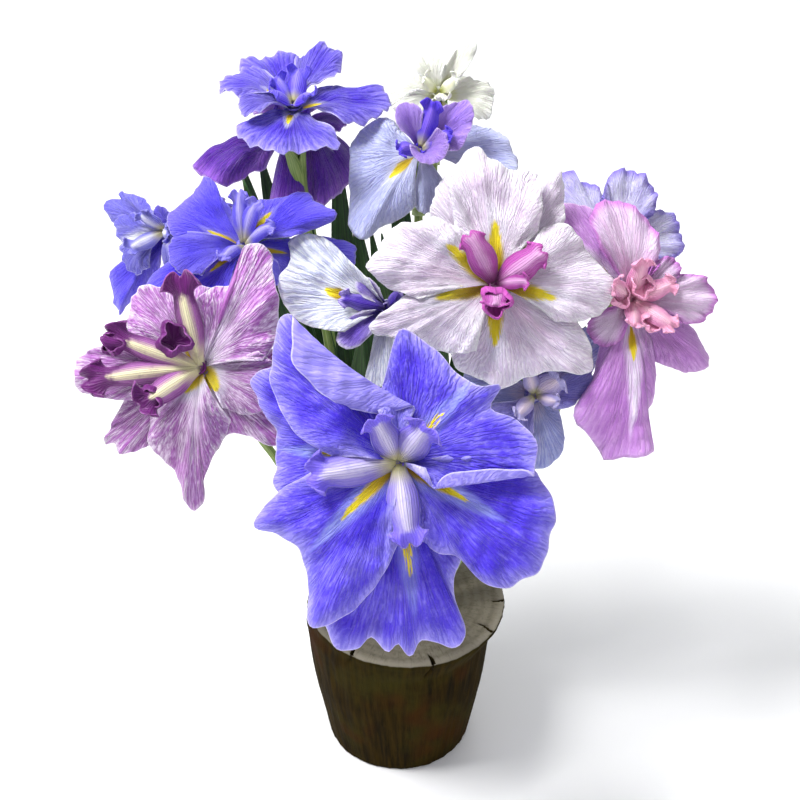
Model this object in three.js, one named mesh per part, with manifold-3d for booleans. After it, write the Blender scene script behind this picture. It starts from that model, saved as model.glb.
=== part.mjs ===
// A bouquet of Japanese irises standing in a hollowed log vase.
// Millimetres, +Z up. The origin is below the centre of the log's hole, on the plane of its flat foot, and
// -Y is the bouquet's front.
import * as THREE from 'three';
import { mergeVertices } from 'three/addons/utils/BufferGeometryUtils.js';
import Module from 'manifold-3d';

const wasm = await Module();
wasm.setup();

// Driving dimensions of the log and of the metal cup that holds its water.
const LOG_HEIGHT = 110;
const LOG_TOP_RADIUS = 64.5;
const LOG_FOOT_RADIUS = 48;
const LOG_RIM_ROUND = 2.5;
const LOG_FOOT_ROUND = 1;
const LOG_BELLY = { radius: 57, height: 55 };
const LOG_SHOULDER = { radius: 60.5, height: 92 };
const LOG_OFFSET = -4.6;
const LOG_SIDES = 32;
const HOLE_RADIUS = 28;
const HOLE_FLOOR = 20;
const CUP_GAP = 0.4;
const CUP_WALL = 1.2;
const CUP_BELOW_RIM = 4;

// Stems stand on the cup's floor, in a ring that leaves its middle free.
const STEM_RADIUS = 3.1;
const STEM_RING = 20.3;
const STEM_SIDES = 6;
const STEM_STEPS = 10;
const STEM_UPRIGHT = 66;
const REST_GAP = 0.35;
const CUP_FLOOR = HOLE_FLOOR + CUP_GAP + CUP_WALL;
const STEM_FOOT = CUP_FLOOR + REST_GAP;

// A flower is three hubs on its axis: falls behind, standards, then style arms in front.
const HUB_HEIGHT = 2.2;
const HUB_STEP = HUB_HEIGHT + REST_GAP;
const HUB_RADIUS = { falls: 5.5, standards: 4.5, styles: 3.5 };
const HUB_LEVEL = { falls: -1, standards: 0, styles: 1 };
const OVARY_LENGTH = 20;
const OVARY_RADIUS = 4.2;
const OVARY_NECK_RADIUS = 2.5;
const STEM_IN_LINE = 32;
const STEM_END = 14;
const HUB_SIDES = 6;

// Petals leave the hub a little narrower than they end. The few that are long get a finer sheet.
const PETAL_THICKNESS = 1.1;
const CLAW_START = 2.5;
const WAIST = 0.84;
const LONG_PETAL = 62;
const LONG_SHEET = { columns: 7, rows: 4 };
const SHORT_SHEET = { columns: 4, rows: 3 };
const ARM_SHEET = { columns: 2, rows: 4 };
const ARM_HALF_WIDTH = 5;

const LEAF_THICKNESS = 1.3;
const LEAF_STEPS = 8;
// Shares of a leaf's width at its foot and over its length, and shares of its length between which its
// flat side turns to the front.
const LEAF_WIDTH = { foot: 0.3, widening: 0.94, full: 0.85, taper: 0.97, taperPower: 6 };
const LEAF_TURN = { start: 0.3, end: 0.75 };
const LEAF_RING = 24.4;
const CLEARANCE = 0.3;
const WELD = 1e-4;
// The group of a box geometry's faces that look along -Z.
const BOX_BACK = 5;

const radians = THREE.MathUtils.degToRad;

/** One petal. Its rim runs counter-clockwise, as angles in degrees from the flower's right and distances
 *  from its centre. Its rise is its height over its ring half way along it and at its margin, and its cup
 *  is how far its sides come forward. */
function petal(rim, rise, cup = 3) {
  const long = Math.max(...rim.map(([, reach]) => reach)) > LONG_PETAL;
  return { rim, rise, cup, mesh: long ? LONG_SHEET : SHORT_SHEET };
}

/** A style arm: a narrow strip that arches over a petal. */
function arm(at, reach, rise, halfWidth = ARM_HALF_WIDTH) {
  const fan = THREE.MathUtils.radToDeg(Math.atan2(halfWidth, reach));
  return { rim: [[at - fan, reach], [at, reach], [at + fan, reach]], rise, cup: 0, mesh: ARM_SHEET };
}

const FLOWERS = [
  {
    name: 'front_blue', centre: [-5, -92, 287], facing: [0, 34], colours: [0x5a45e8, 0x6a55ea, 0xd9cfe6],
    stem: { slot: 265, lean: [-5, -42, 195] },
    falls: [
      petal([[126, 60], [136, 80], [144, 88], [151, 92], [158, 82], [166, 70], [179, 67], [192, 69],
        [203, 58]], [-2, -12]),
      petal([[236, 62], [242, 86], [247, 102], [253, 111], [258, 106], [261, 100], [267, 105], [270, 100],
        [274, 109], [278, 101], [286, 108], [291, 105], [293, 78], [301, 66], [310, 55]], [-2, -17]),
      petal([[278, 34], [292, 52], [302, 60], [305, 78], [311, 90], [322, 96], [332, 93], [346, 86],
        [356, 74], [372, 44]], [8, 3]),
    ],
    standards: [
      petal([[72, 30], [95, 31], [106, 35], [114, 45], [119, 62], [122, 78], [127, 99], [134, 94],
        [147, 81], [158, 66], [166, 52], [175, 34]], [14, 11]),
      petal([[186, 46], [195, 68], [203, 84], [211, 76], [222, 71], [232, 80], [240, 96], [243, 100],
        [249, 91], [258, 73], [270, 44]], [11, 2]),
      petal([[-31, 23], [-20, 32], [-9, 51], [-4, 71], [8, 74], [20, 67], [31, 58], [37, 68], [44, 59],
        [58, 58], [72, 63], [84, 70], [89, 72], [94, 57], [100, 44], [112, 32]], [12, 10]),
    ],
    arms: [arm(187, 51, [15, 13], 9.8), arm(278, 47, [16, 14], 8.6), arm(52, 27, [18, 25], 9.6),
      arm(117, 29, [17, 23], 8)],
  },
  {
    name: 'pink_white', centre: [50, -1, 345], facing: [0, 34], colours: [0xe9d9ec, 0xf0e4f0, 0xc55cc0],
    stem: { slot: 293, lean: [32, 0, 230] },
    falls: [
      petal([[30, 44], [46, 58], [60, 75], [66, 66], [82, 48]], [0, -6]),
      petal([[96, 50], [111, 70], [119, 66], [132, 55], [146, 46]], [0, -6]),
      petal([[228, 40], [244, 51], [260, 54], [274, 59], [290, 56], [302, 58], [319, 75], [328, 65],
        [344, 44]], [1, -7]),
    ],
    standards: [
      petal([[50, 38], [62, 55], [69, 66], [84, 66], [92, 70], [98, 79], [106, 73], [113, 69], [120, 48],
        [130, 34]], [9, 6]),
      petal([[328, 40], [338, 55], [347, 64], [359, 69], [370, 61], [384, 55], [400, 53],
        [410, 42]], [9, 1]),
      petal([[124, 36], [132, 50], [141, 55], [151, 66], [162, 68], [172, 73], [180, 64],
        [192, 44]], [11, 8]),
      petal([[182, 44], [192, 60], [199, 76], [206, 68], [216, 54], [234, 48], [254, 40]], [9, 3]),
    ],
    arms: [arm(121, 33, [15, 18], 8.0), arm(33, 33, [15, 18], 8.6), arm(268, 15, [13, 14], 7.0),
      arm(3, 19, [12, 14], 4.2)],
  },
  {
    name: 'mottled', centre: [-116, -34, 310], facing: [0, 34], colours: [0xb968c0, 0xbf74c4, 0x6d1a70],
    stem: { slot: 210, lean: [-68, -16, 215] },
    falls: [
      petal([[72, 38], [84, 46], [100, 46], [114, 50], [127, 58], [136, 56], [147, 50],
        [158, 44]], [2, -4], 4),
      petal([[192, 42], [207, 54], [217, 72], [221, 66], [226, 68], [233, 57], [244, 44]], [0, -10], 4),
      petal([[258, 44], [266, 56], [271, 48], [280, 48], [288, 40], [303, 46], [314, 62], [328, 67],
        [342, 63], [358, 54], [378, 40]], [1, -7], 4),
    ],
    standards: [
      petal([[6, 36], [18, 44], [32, 52], [46, 62], [54, 69], [60, 77], [66, 77], [70, 70], [66, 58],
        [67, 51], [80, 46], [94, 36]], [8, 4]),
      petal([[160, 42], [168, 57], [175, 69], [190, 70], [197, 58], [206, 42]], [8, 1]),
      petal([[224, 40], [238, 54], [252, 59], [260, 68], [266, 82], [270, 76], [271, 63], [284, 44],
        [300, 34]], [7, -6]),
      petal([[300, 26], [316, 38], [330, 44], [345, 46], [360, 44], [376, 34]], [5, 3]),
    ],
    arms: [arm(100, 56, [14, 17], 7.0), arm(160, 57, [14, 15], 6.4), arm(186, 67, [14, 11], 6.6),
      arm(214, 41, [15, 17], 7.2)],
  },
  {
    name: 'left_blue', centre: [-94, 26, 355], facing: [-5, 52], colours: [0x4a3ee6, 0x5548e2, 0xb6a8ea],
    stem: { slot: 183, lean: [-58, 18, 235] },
    falls: [
      petal([[112, 24], [119, 36], [118, 47], [121, 54], [128, 51], [138, 48], [150, 50], [161, 50],
        [171, 45], [182, 34]], [2, 0]),
      petal([[165, 34], [179, 41], [188, 50], [195, 61], [203, 63], [214, 57], [232, 53], [252, 49],
        [276, 34]], [0, -16]),
      petal([[324, 26], [339, 32], [350, 46], [358, 61], [367, 63], [375, 62], [381, 48],
        [388, 34]], [-4, -20]),
    ],
    standards: [
      petal([[168, 34], [180, 43], [196, 44], [211, 38], [225, 30]], [7, 2]),
      petal([[5, 28], [14, 42], [16, 53], [21, 57], [27, 52], [34, 49], [44, 48], [51, 41], [61, 34],
        [72, 29], [83, 20]], [8, 6]),
      petal([[80, 16], [85, 25], [91, 30], [96, 27], [103, 16]], [9, 10]),
      petal([[256, 28], [272, 33], [290, 34], [306, 31], [322, 28], [338, 22]], [5, -4]),
    ],
    arms: [arm(97, 27, [14, 17], 4.6), arm(66, 23, [15, 18], 4.8), arm(240, 20, [12, 11], 4.2),
      arm(18, 22, [12, 12], 4.2)],
  },
  {
    name: 'right_pink', centre: [130, 9, 329], facing: [10, 32], colours: [0xcf9ad8, 0xe0b4e0, 0xe38fb4],
    stem: { slot: 348, lean: [80, 20, 215] },
    falls: [
      petal([[234, 28], [242, 46], [240, 62], [239, 73], [247, 81], [256, 87], [260, 96], [267, 92],
        [276, 91], [277, 70], [283, 63], [289, 44], [296, 30]], [0, -12], 5),
      petal([[286, 36], [301, 50], [310, 60], [320, 63], [326, 56], [333, 44], [341, 32]], [0, -9]),
      petal([[94, 40], [105, 54], [114, 65], [124, 69], [133, 62], [147, 56], [163, 44]], [0, -6]),
    ],
    standards: [
      petal([[328, 30], [335, 40], [346, 48], [360, 49], [372, 44], [380, 35], [389, 24]], [8, 5]),
      petal([[50, 24], [60, 34], [70, 43], [84, 52], [96, 58], [108, 59], [114, 54], [123, 36]], [8, 8]),
      petal([[190, 22], [204, 30], [220, 33], [236, 31], [250, 24]], [6, 1]),
      petal([[12, 22], [24, 30], [36, 33], [48, 31], [60, 22]], [8, 9]),
    ],
    arms: [arm(150, 21, [14, 18], 5.4), arm(20, 24, [14, 16], 5.4), arm(315, 29, [13, 12], 5.4),
      arm(85, 24, [14, 20], 5.8), arm(250, 18, [12, 14], 5.0)],
  },
  {
    name: 'slate', centre: [75, -9, 275], facing: [0, 30], colours: [0x8d96c8, 0x7a6cc4, 0xc9b6cc],
    stem: { slot: 321, lean: [48, -2, 190] },
    falls: [
      petal([[244, 30], [256, 39], [267, 45], [284, 44], [298, 38], [312, 27], [328, 18]], [1, -5]),
      petal([[6, 26], [16, 34], [26, 42], [38, 52], [48, 52], [58, 44], [68, 28]], [0, -4]),
      petal([[128, 30], [140, 38], [156, 42], [172, 42], [188, 38], [204, 30]], [0, -6]),
    ],
    standards: [
      petal([[56, 20], [68, 28], [84, 31], [100, 30], [116, 22]], [6, 3]),
      petal([[190, 24], [206, 31], [222, 34], [238, 34], [256, 30], [270, 22]], [6, 1]),
      petal([[322, 14], [342, 22], [360, 28], [379, 36], [388, 33], [398, 20]], [6, 4]),
    ],
    arms: [arm(40, 19, [11, 14], 7.5), arm(225, 18, [12, 13], 4.5), arm(110, 18, [12, 14], 4.5),
      arm(345, 15, [11, 12], 3.6)],
  },
  {
    name: 'white_veined', centre: [-11, 6, 325], facing: [-6, 34], colours: [0xd8d8e6, 0x6a4fc0, 0x4a2aa0],
    stem: { slot: 238, lean: [-12, 10, 220] },
    falls: [
      petal([[124, 18], [132, 36], [134, 51], [140, 63], [148, 69], [157, 62], [167, 65], [180, 61],
        [194, 49], [214, 28]], [9, 10]),
      petal([[244, 16], [252, 32], [257, 48], [266, 46], [277, 38], [286, 22]], [0, -5]),
      petal([[350, 26], [4, 36], [20, 40], [36, 37], [52, 28]], [0, -7]),
    ],
    standards: [
      petal([[112, 12], [124, 20], [138, 24], [150, 22], [160, 14]], [6, 7]),
      petal([[190, 14], [200, 25], [212, 33], [222, 35], [234, 30], [246, 16]], [7, 6]),
      petal([[318, 14], [334, 19], [350, 14]], [5, 2]),
    ],
    arms: [arm(172, 29, [8, 8], 4.6), arm(300, 12, [6, 4], 3.6), arm(50, 13, [6, 4], 3.6)],
  },
  {
    name: 'pale_lavender', centre: [8, 64, 398], facing: [0, 45], colours: [0xb4b4e2, 0x8d6ad8, 0x7a58d0],
    stem: { slot: 72, lean: [6, 56, 260] },
    falls: [
      petal([[126, 26], [137, 33], [150, 37], [165, 41], [186, 42], [206, 46], [219, 54], [228, 61],
        [237, 62], [242, 50], [253, 40], [266, 31]], [1, -8]),
      petal([[260, 28], [272, 35], [286, 33], [300, 28], [312, 20]], [0, -10]),
      petal([[334, 46], [345, 57], [354, 58], [365, 54], [377, 49], [386, 42], [399, 27]], [1, -5]),
    ],
    standards: [
      petal([[84, 16], [98, 21], [112, 25], [126, 24], [140, 19], [154, 13]], [11, 16]),
      petal([[334, 16], [348, 23], [362, 26], [378, 31], [392, 36], [404, 37], [418, 24]], [11, 14]),
      petal([[214, 8], [244, 11], [278, 15], [310, 17], [340, 17], [368, 15], [392, 11]], [14, 17]),
    ],
    arms: [arm(208, 16, [13, 14], 5.0), arm(70, 24, [14, 19], 5.6), arm(10, 20, [13, 14], 4.4)],
  },
  {
    name: 'top_violet', centre: [-66, 76, 420], facing: [0, 80], colours: [0x5c3ad6, 0x6a52de, 0x7f74e0],
    stem: { slot: 127, lean: [-48, 62, 260] },
    falls: [
      petal([[334, 30], [345, 38], [357, 49], [370, 57], [380, 59], [389, 58], [398, 47],
        [410, 30]], [3, -2]),
      petal([[200, 27], [209, 37], [226, 38], [247, 39], [263, 41], [277, 34], [288, 35], [302, 43],
        [311, 43], [322, 31]], [2, -3]),
      petal([[70, 40], [80, 50], [92, 54], [107, 56], [121, 55], [131, 52], [142, 38]], [6, 6]),
    ],
    standards: [
      petal([[38, 30], [47, 40], [60, 53], [68, 58], [75, 58], [82, 50], [91, 34]], [9, 8]),
      petal([[128, 34], [141, 42], [150, 45], [166, 45], [175, 41], [187, 26]], [9, 8]),
      petal([[176, 24], [188, 31], [201, 32], [213, 33], [226, 25]], [8, 6]),
    ],
    arms: [arm(205, 15, [9, 10], 5.6), arm(75, 17, [10, 12], 6.0), arm(325, 17, [9, 10], 5.6),
      arm(140, 15, [9, 10], 5.6)],
  },
  {
    name: 'deep_purple', centre: [-66, 102, 395], facing: [0, 80], colours: [0x4a1a9e, 0x5c2cb4, 0x7a50c8],
    stem: { slot: 99, lean: [-42, 78, 250] },
    falls: [
      petal([[158, 26], [169, 37], [182, 40], [190, 50], [192, 65], [205, 61], [218, 60], [222, 46],
        [228, 28]], [2, -14]),
      petal([[224, 22], [238, 32], [250, 36], [264, 37], [278, 35], [292, 22]], [-3, -31], 0),
      petal([[284, 26], [296, 37], [314, 35], [332, 33], [350, 37], [366, 39], [379, 37],
        [390, 28]], [-3, -28], 0),
    ],
    standards: [
      petal([[50, 24], [62, 30], [75, 32], [88, 30], [100, 24]], [4, 2], 2),
      petal([[116, 26], [128, 31], [140, 33], [152, 31], [164, 26]], [4, 2], 2),
      petal([[346, 24], [358, 28], [370, 30], [382, 28], [394, 24]], [4, 0], 2),
    ],
    arms: [arm(60, 15, [7, 7], 4), arm(180, 15, [7, 7], 4), arm(300, 13, [7, 7], 4)],
  },
  {
    name: 'ivory', centre: [19, 113, 412], facing: [5, 50], colours: [0xf2f2e6, 0xf4f4ec, 0xe6e89a],
    stem: { slot: 44, lean: [18, 80, 260] },
    falls: [
      petal([[116, 18], [134, 25], [151, 28], [170, 30], [188, 29], [204, 24], [216, 17]], [2, -2], 4),
      petal([[236, 20], [254, 27], [272, 30], [290, 28], [308, 20]], [2, -6]),
      petal([[322, 26], [335, 34], [350, 34], [364, 35], [373, 33], [384, 27], [400, 20]], [2, -2], 4),
    ],
    standards: [
      petal([[26, 15], [33, 22], [41, 29], [46, 36], [52, 38], [58, 36], [62, 31], [66, 22],
        [76, 13]], [7, 9], 2),
      petal([[72, 15], [88, 19], [104, 21], [118, 24], [130, 22], [146, 16]], [7, 8], 4),
      petal([[186, 18], [200, 26], [215, 28], [230, 26], [244, 18]], [7, 6], 4),
    ],
    arms: [arm(150, 12, [7, 8], 3.8), arm(20, 13, [7, 8], 3.8), arm(280, 11, [7, 7], 3.8)],
  },
  {
    name: 'ruffled', centre: [125, 53, 338], facing: [5, 45], colours: [0xc9c6e6, 0xd6d4ea, 0x8f78d8],
    stem: { slot: 16, lean: [78, 52, 225] },
    falls: [
      petal([[92, 34], [101, 43], [107, 48], [114, 57], [123, 59], [132, 53], [145, 43],
        [157, 32]], [2, -3], 4),
      petal([[340, 26], [349, 34], [358, 42], [371, 44], [385, 45], [394, 44], [402, 37],
        [411, 28]], [2, -3], 4),
      petal([[212, 26], [228, 34], [245, 37], [262, 34], [280, 26]], [0, -14]),
    ],
    standards: [
      petal([[38, 30], [50, 41], [61, 46], [73, 49], [83, 48], [92, 43], [106, 30]], [8, 8], 4),
      petal([[156, 24], [170, 31], [185, 33], [200, 31], [214, 24]], [8, 5]),
      petal([[280, 22], [292, 28], [305, 30], [318, 29], [332, 24]], [7, 3]),
    ],
    arms: [arm(90, 19, [12, 16], 5.2), arm(200, 17, [12, 14], 5.2), arm(330, 17, [12, 14], 5.2)],
  },
  {
    name: 'far_left', centre: [-143, 58, 348], facing: [-35, 22], colours: [0x6f68d0, 0x8a86c8, 0xd8d8ee],
    stem: { slot: 155, lean: [-92, 52, 240] },
    falls: [
      petal([[78, 9], [96, 12], [114, 14], [132, 17], [148, 14]], [2, 3]),
      petal([[206, 36], [216, 45], [220, 59], [226, 66], [234, 74], [241, 74], [243, 60], [249, 48],
        [263, 36]], [0, -8]),
      petal([[356, 28], [12, 36], [28, 42], [44, 40], [60, 30]], [0, -6]),
    ],
    standards: [
      petal([[138, 14], [151, 26], [160, 39], [166, 48], [170, 46], [176, 55], [182, 51], [190, 46],
        [202, 34]], [3, -2]),
      petal([[170, 26], [183, 37], [196, 38], [209, 36], [221, 36], [233, 38], [246, 34],
        [258, 24]], [7, 3]),
      petal([[292, 24], [308, 30], [325, 31], [342, 28], [356, 22]], [7, 0]),
    ],
    arms: [arm(140, 15, [10, 11], 4.6), arm(228, 22, [11, 12], 4.8), arm(10, 15, [10, 10], 4.6)],
  },
];

// Sword leaves grow in twos and threes from one sheath: the sheath's place in the ring, and for each blade a
// point that it passes, its tip and its half width.
const LEAF_FANS = [
  { name: 'leaf_fan_left', slot: 169, blades: [
    [[-66, 55, 255], [-103, 108, 374], 12],
    [[-58, 42, 245], [-97, 70, 376], 11],
    [[-62, 60, 252], [-90, 100, 384], 12],
  ] },
  { name: 'leaf_fan_back_left', slot: 141, blades: [
    [[-36, 75, 265], [-43, 104, 386], 12],
    [[-62, 88, 245], [-98, 140, 330], 10],
    [[-50, 80, 250], [-66, 100, 362], 10],
  ] },
  { name: 'leaf_fan_middle', slot: 113, blades: [
    [[-20, 62, 255], [-32, 84, 352], 12],
    [[-30, 50, 225], [-28, 40, 290], 10],
    [[-6, 50, 240], [-22, 70, 345], 10],
  ] },
  { name: 'leaf_fan_back', slot: 86, blades: [
    [[2, 78, 265], [-8, 130, 378], 12],
    [[0, 60, 238], [-15, 66, 342], 10],
  ] },
  { name: 'leaf_fan_back_right', slot: 58, blades: [
    [[40, 78, 260], [64, 125, 370], 11],
    [[20, 60, 240], [14, 72, 348], 10],
  ] },
  { name: 'leaf_fan_right', slot: 30, blades: [
    [[60, 48, 225], [112, 60, 280], 9],
    [[40, 52, 235], [72, 76, 324], 9],
  ] },
];

/** A closed manifold solid of a geometry. */
function solidOf(geometry) {
  const bare = geometry.clone();
  bare.deleteAttribute('normal');
  bare.deleteAttribute('uv');
  const merged = mergeVertices(bare, WELD);
  return new wasm.Manifold(new wasm.Mesh({
    numProp: 3,
    vertProperties: new Float32Array(merged.attributes.position.array),
    triVerts: new Uint32Array(merged.index.array),
  }));
}

/** The largest of the bodies that a solid falls into. */
function largestBody(solid) {
  const bodies = solid.decompose();
  return bodies.reduce((best, body) => (body.volume() > best.volume() ? body : best));
}

function geometryOf(solid) {
  const mesh = solid.getMesh();
  const geometry = new THREE.BufferGeometry();
  geometry.setAttribute('position', new THREE.BufferAttribute(mesh.vertProperties, 3));
  geometry.setIndex(new THREE.BufferAttribute(mesh.triVerts, 1));
  geometry.computeVertexNormals();
  return geometry;
}

/** Right, up and forward axes of a flower that faces an azimuth (0 is -Y) and an elevation. */
function flowerFrame(flower) {
  const [azimuth, elevation] = flower.facing.map(radians);
  const forward = new THREE.Vector3(
    Math.sin(azimuth) * Math.cos(elevation), -Math.cos(azimuth) * Math.cos(elevation), Math.sin(elevation));
  const right = new THREE.Vector3(Math.cos(azimuth), Math.sin(azimuth), 0);
  const up = new THREE.Vector3().crossVectors(forward, right);
  const frame = new THREE.Matrix4().makeBasis(right, up, forward);
  return frame.setPosition(...flower.centre);
}

/** Splits a box's back along the same diagonals as its front, so that the two stay parallel where the box
 *  is twisted. */
function matchDiagonals(box) {
  const back = box.groups[BOX_BACK];
  for (let i = back.start; i < back.start + back.count; i += 6) {
    const [a, b, d, , c] = box.index.array.slice(i, i + 5);
    [a, b, c, a, c, d].forEach((corner, k) => box.index.setX(i + k, corner));
  }
}

/** A thin sheet over u and v in [-1, 1] and [0, 1]: a box that is bent so that its middle lies on
 *  pointAt(u, v). */
function sheet(box, thickness, pointAt) {
  const position = box.attributes.position;
  const step = 1e-3;
  for (let i = 0; i < position.count; i += 1) {
    const u = position.getX(i);
    const v = position.getY(i) + 0.5;
    const across = pointAt(u + step, v).sub(pointAt(u - step, v));
    const along = pointAt(u, v + step).sub(pointAt(u, v - step));
    const normal = across.cross(along).normalize();
    const point = pointAt(u, v).addScaledVector(normal, position.getZ(i) * thickness);
    position.setXYZ(i, point.x, point.y, point.z);
  }
  return box;
}

/** A petal's margin in its flower's plane, and the direction that its middle has in radians. */
function marginOf(shape) {
  const corners = shape.rim.map(([turn, reach]) => new THREE.Vector3(
    reach * Math.cos(radians(turn)), reach * Math.sin(radians(turn)), 0));
  const [[first], [last]] = [shape.rim[0], shape.rim[shape.rim.length - 1]];
  const curve = new THREE.CatmullRomCurve3(corners, false, 'centripetal');
  return { curve, middle: radians((first + last) / 2) };
}

/** A petal's middle surface in its flower's frame: u across, v from claw to margin. */
function petalPoint(shape, margin, level, u, v, grow) {
  const end = margin.curve.getPointAt(THREE.MathUtils.clamp((u + 1) / 2, 0, 1));
  const distance = CLAW_START + v * (Math.hypot(end.x, end.y) + grow - CLAW_START);
  const away = Math.atan2(end.y, end.x) - margin.middle;
  const bearing = Math.atan2(Math.sin(away), Math.cos(away)) * (WAIST + (1 - WAIST) * v);
  const turn = margin.middle + bearing + (u * grow) / Math.max(distance, CLAW_START);
  const [half, tip] = shape.rise;
  const height = level + v * (4 * half - tip) + v * v * (2 * tip - 4 * half) + shape.cup * v * u * u;
  return new THREE.Vector3(distance * Math.cos(turn), distance * Math.sin(turn), height);
}

function petalSheet(shape, level, grow) {
  const margin = marginOf(shape);
  const { columns, rows } = shape.mesh;
  const box = new THREE.BoxGeometry(2, 1, 1, columns, rows, 1);
  return sheet(box, PETAL_THICKNESS + 2 * grow, (u, v) => petalPoint(shape, margin, level, u, v, grow));
}

/** Three or more petals joined by a hub on the flower's axis. */
function ring(flower, kind, grow) {
  const level = HUB_LEVEL[kind] * HUB_STEP;
  const radius = HUB_RADIUS[kind] + grow;
  const hub = new THREE.CylinderGeometry(radius, radius, HUB_HEIGHT + 2 * grow, HUB_SIDES)
    .rotateX(Math.PI / 2)
    .translate(0, 0, level);
  const shapes = kind === 'styles' ? flower.arms : flower[kind];
  const frame = flowerFrame(flower);
  const parts = [hub, ...shapes.map((shape) => petalSheet(shape, level, grow))];
  return parts
    .map((geometry) => solidOf(geometry.applyMatrix4(frame)))
    .reduce((whole, part) => whole.add(part));
}

function ringPoint(slot, radius, z) {
  return new THREE.Vector3(radius * Math.cos(radians(slot)), radius * Math.sin(radians(slot)), z);
}

function tube(curve, radius) {
  const section = new THREE.Shape();
  for (let i = 0; i < STEM_SIDES; i += 1) {
    const turn = (2 * Math.PI * i) / STEM_SIDES;
    const corner = [radius * Math.cos(turn), radius * Math.sin(turn)];
    if (i === 0) section.moveTo(...corner);
    else section.lineTo(...corner);
  }
  section.closePath();
  return new THREE.ExtrudeGeometry(section, { steps: STEM_STEPS, bevelEnabled: false, extrudePath: curve });
}

/** A stem from the cup's floor to the back of its flower, with the green ovary at its top. */
function stem(flower, grow) {
  const frame = flowerFrame(flower);
  const hubBack = -1.5 * HUB_STEP - REST_GAP / 2;
  const onAxis = (distance) => new THREE.Vector3(0, 0, -distance).applyMatrix4(frame);
  const path = new THREE.CatmullRomCurve3([
    ringPoint(flower.stem.slot, STEM_RING, STEM_FOOT - grow),
    ringPoint(flower.stem.slot, STEM_RING, STEM_UPRIGHT),
    ringPoint(flower.stem.slot, STEM_RING, LOG_HEIGHT),
    new THREE.Vector3(...flower.stem.lean),
    onAxis(STEM_IN_LINE),
    onAxis(STEM_END),
  ], false, 'centripetal');
  const ovary = new THREE.CylinderGeometry(
    OVARY_NECK_RADIUS + grow, OVARY_RADIUS + grow, OVARY_LENGTH + grow, HUB_SIDES)
    .rotateX(Math.PI / 2)
    .translate(0, 0, hubBack - OVARY_LENGTH / 2)
    .applyMatrix4(frame);
  return solidOf(tube(path, STEM_RADIUS + grow)).add(solidOf(ovary));
}

/** One sword leaf: a blade that stands in the cup, turns its face to the front and narrows to its tip. */
function blade(slot, [pass, tip, halfWidth], grow) {
  const path = new THREE.CatmullRomCurve3([
    ringPoint(slot, LEAF_RING, STEM_FOOT - grow),
    ringPoint(slot, LEAF_RING, LOG_HEIGHT),
    new THREE.Vector3(...pass),
    new THREE.Vector3(...tip),
  ], false, 'centripetal');
  const side = ringPoint(slot + 90, 1, 0);
  const front = new THREE.Vector3(Math.sign(side.x), 0, 0);
  const box = new THREE.BoxGeometry(2, 1, 1, 1, LEAF_STEPS, 1);
  matchDiagonals(box);
  return sheet(box, LEAF_THICKNESS + 2 * grow, (u, v) => {
    const along = THREE.MathUtils.clamp(v, 0, 1);
    const turned = THREE.MathUtils.smoothstep(along, LEAF_TURN.start, LEAF_TURN.end);
    const across = side.clone().lerp(front, turned).normalize();
    const widest = Math.min(LEAF_WIDTH.full, LEAF_WIDTH.foot + LEAF_WIDTH.widening * along);
    const narrow = widest * (1 - LEAF_WIDTH.taper * along ** LEAF_WIDTH.taperPower);
    return path.getPointAt(along).addScaledVector(across, u * (halfWidth * narrow + grow));
  });
}

function leafFan(fan, grow) {
  return fan.blades
    .map((shape) => solidOf(blade(fan.slot, shape, grow)))
    .reduce((whole, part) => whole.add(part));
}

/** The log: below its shoulder it stands a little to the left of its rim and its hole. */
function logVase() {
  const rimFoot = LOG_HEIGHT - LOG_RIM_ROUND;
  const outside = lathed([
    [0, 0], [LOG_FOOT_RADIUS - LOG_FOOT_ROUND, 0], [LOG_FOOT_RADIUS, LOG_FOOT_ROUND],
    [LOG_BELLY.radius, LOG_BELLY.height], [LOG_SHOULDER.radius, LOG_SHOULDER.height],
    [LOG_TOP_RADIUS, rimFoot], [LOG_TOP_RADIUS - LOG_RIM_ROUND, LOG_HEIGHT], [0, LOG_HEIGHT],
  ]);
  const position = outside.attributes.position;
  for (let i = 0; i < position.count; i += 1) {
    const share = THREE.MathUtils.smoothstep(position.getZ(i), LOG_SHOULDER.height, rimFoot);
    position.setX(i, position.getX(i) + LOG_OFFSET * (1 - share));
  }
  const hole = lathed([
    [0, HOLE_FLOOR], [HOLE_RADIUS, HOLE_FLOOR], [HOLE_RADIUS, 2 * LOG_HEIGHT], [0, 2 * LOG_HEIGHT],
  ]);
  return solidOf(outside).subtract(solidOf(hole));
}

function waterCup(grow) {
  const outer = HOLE_RADIUS - CUP_GAP + grow;
  const inner = HOLE_RADIUS - CUP_GAP - CUP_WALL - grow;
  const bottom = HOLE_FLOOR + CUP_GAP - grow;
  const rim = LOG_HEIGHT - CUP_BELOW_RIM + grow;
  const profile = [
    [0, bottom], [outer, bottom], [outer, rim], [inner, rim],
    [inner, CUP_FLOOR + grow], [0, CUP_FLOOR + grow],
  ];
  return solidOf(lathed(profile));
}

function lathed(profile) {
  const points = profile.map(([radius, z]) => new THREE.Vector2(radius, z));
  return new THREE.LatheGeometry(points, LOG_SIDES).rotateX(Math.PI / 2);
}

const bouquet = new THREE.Group();
const placed = [];

function boxOf(solid) {
  const { min, max } = solid.boundingBox();
  return new THREE.Box3(new THREE.Vector3(...min), new THREE.Vector3(...max));
}

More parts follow.
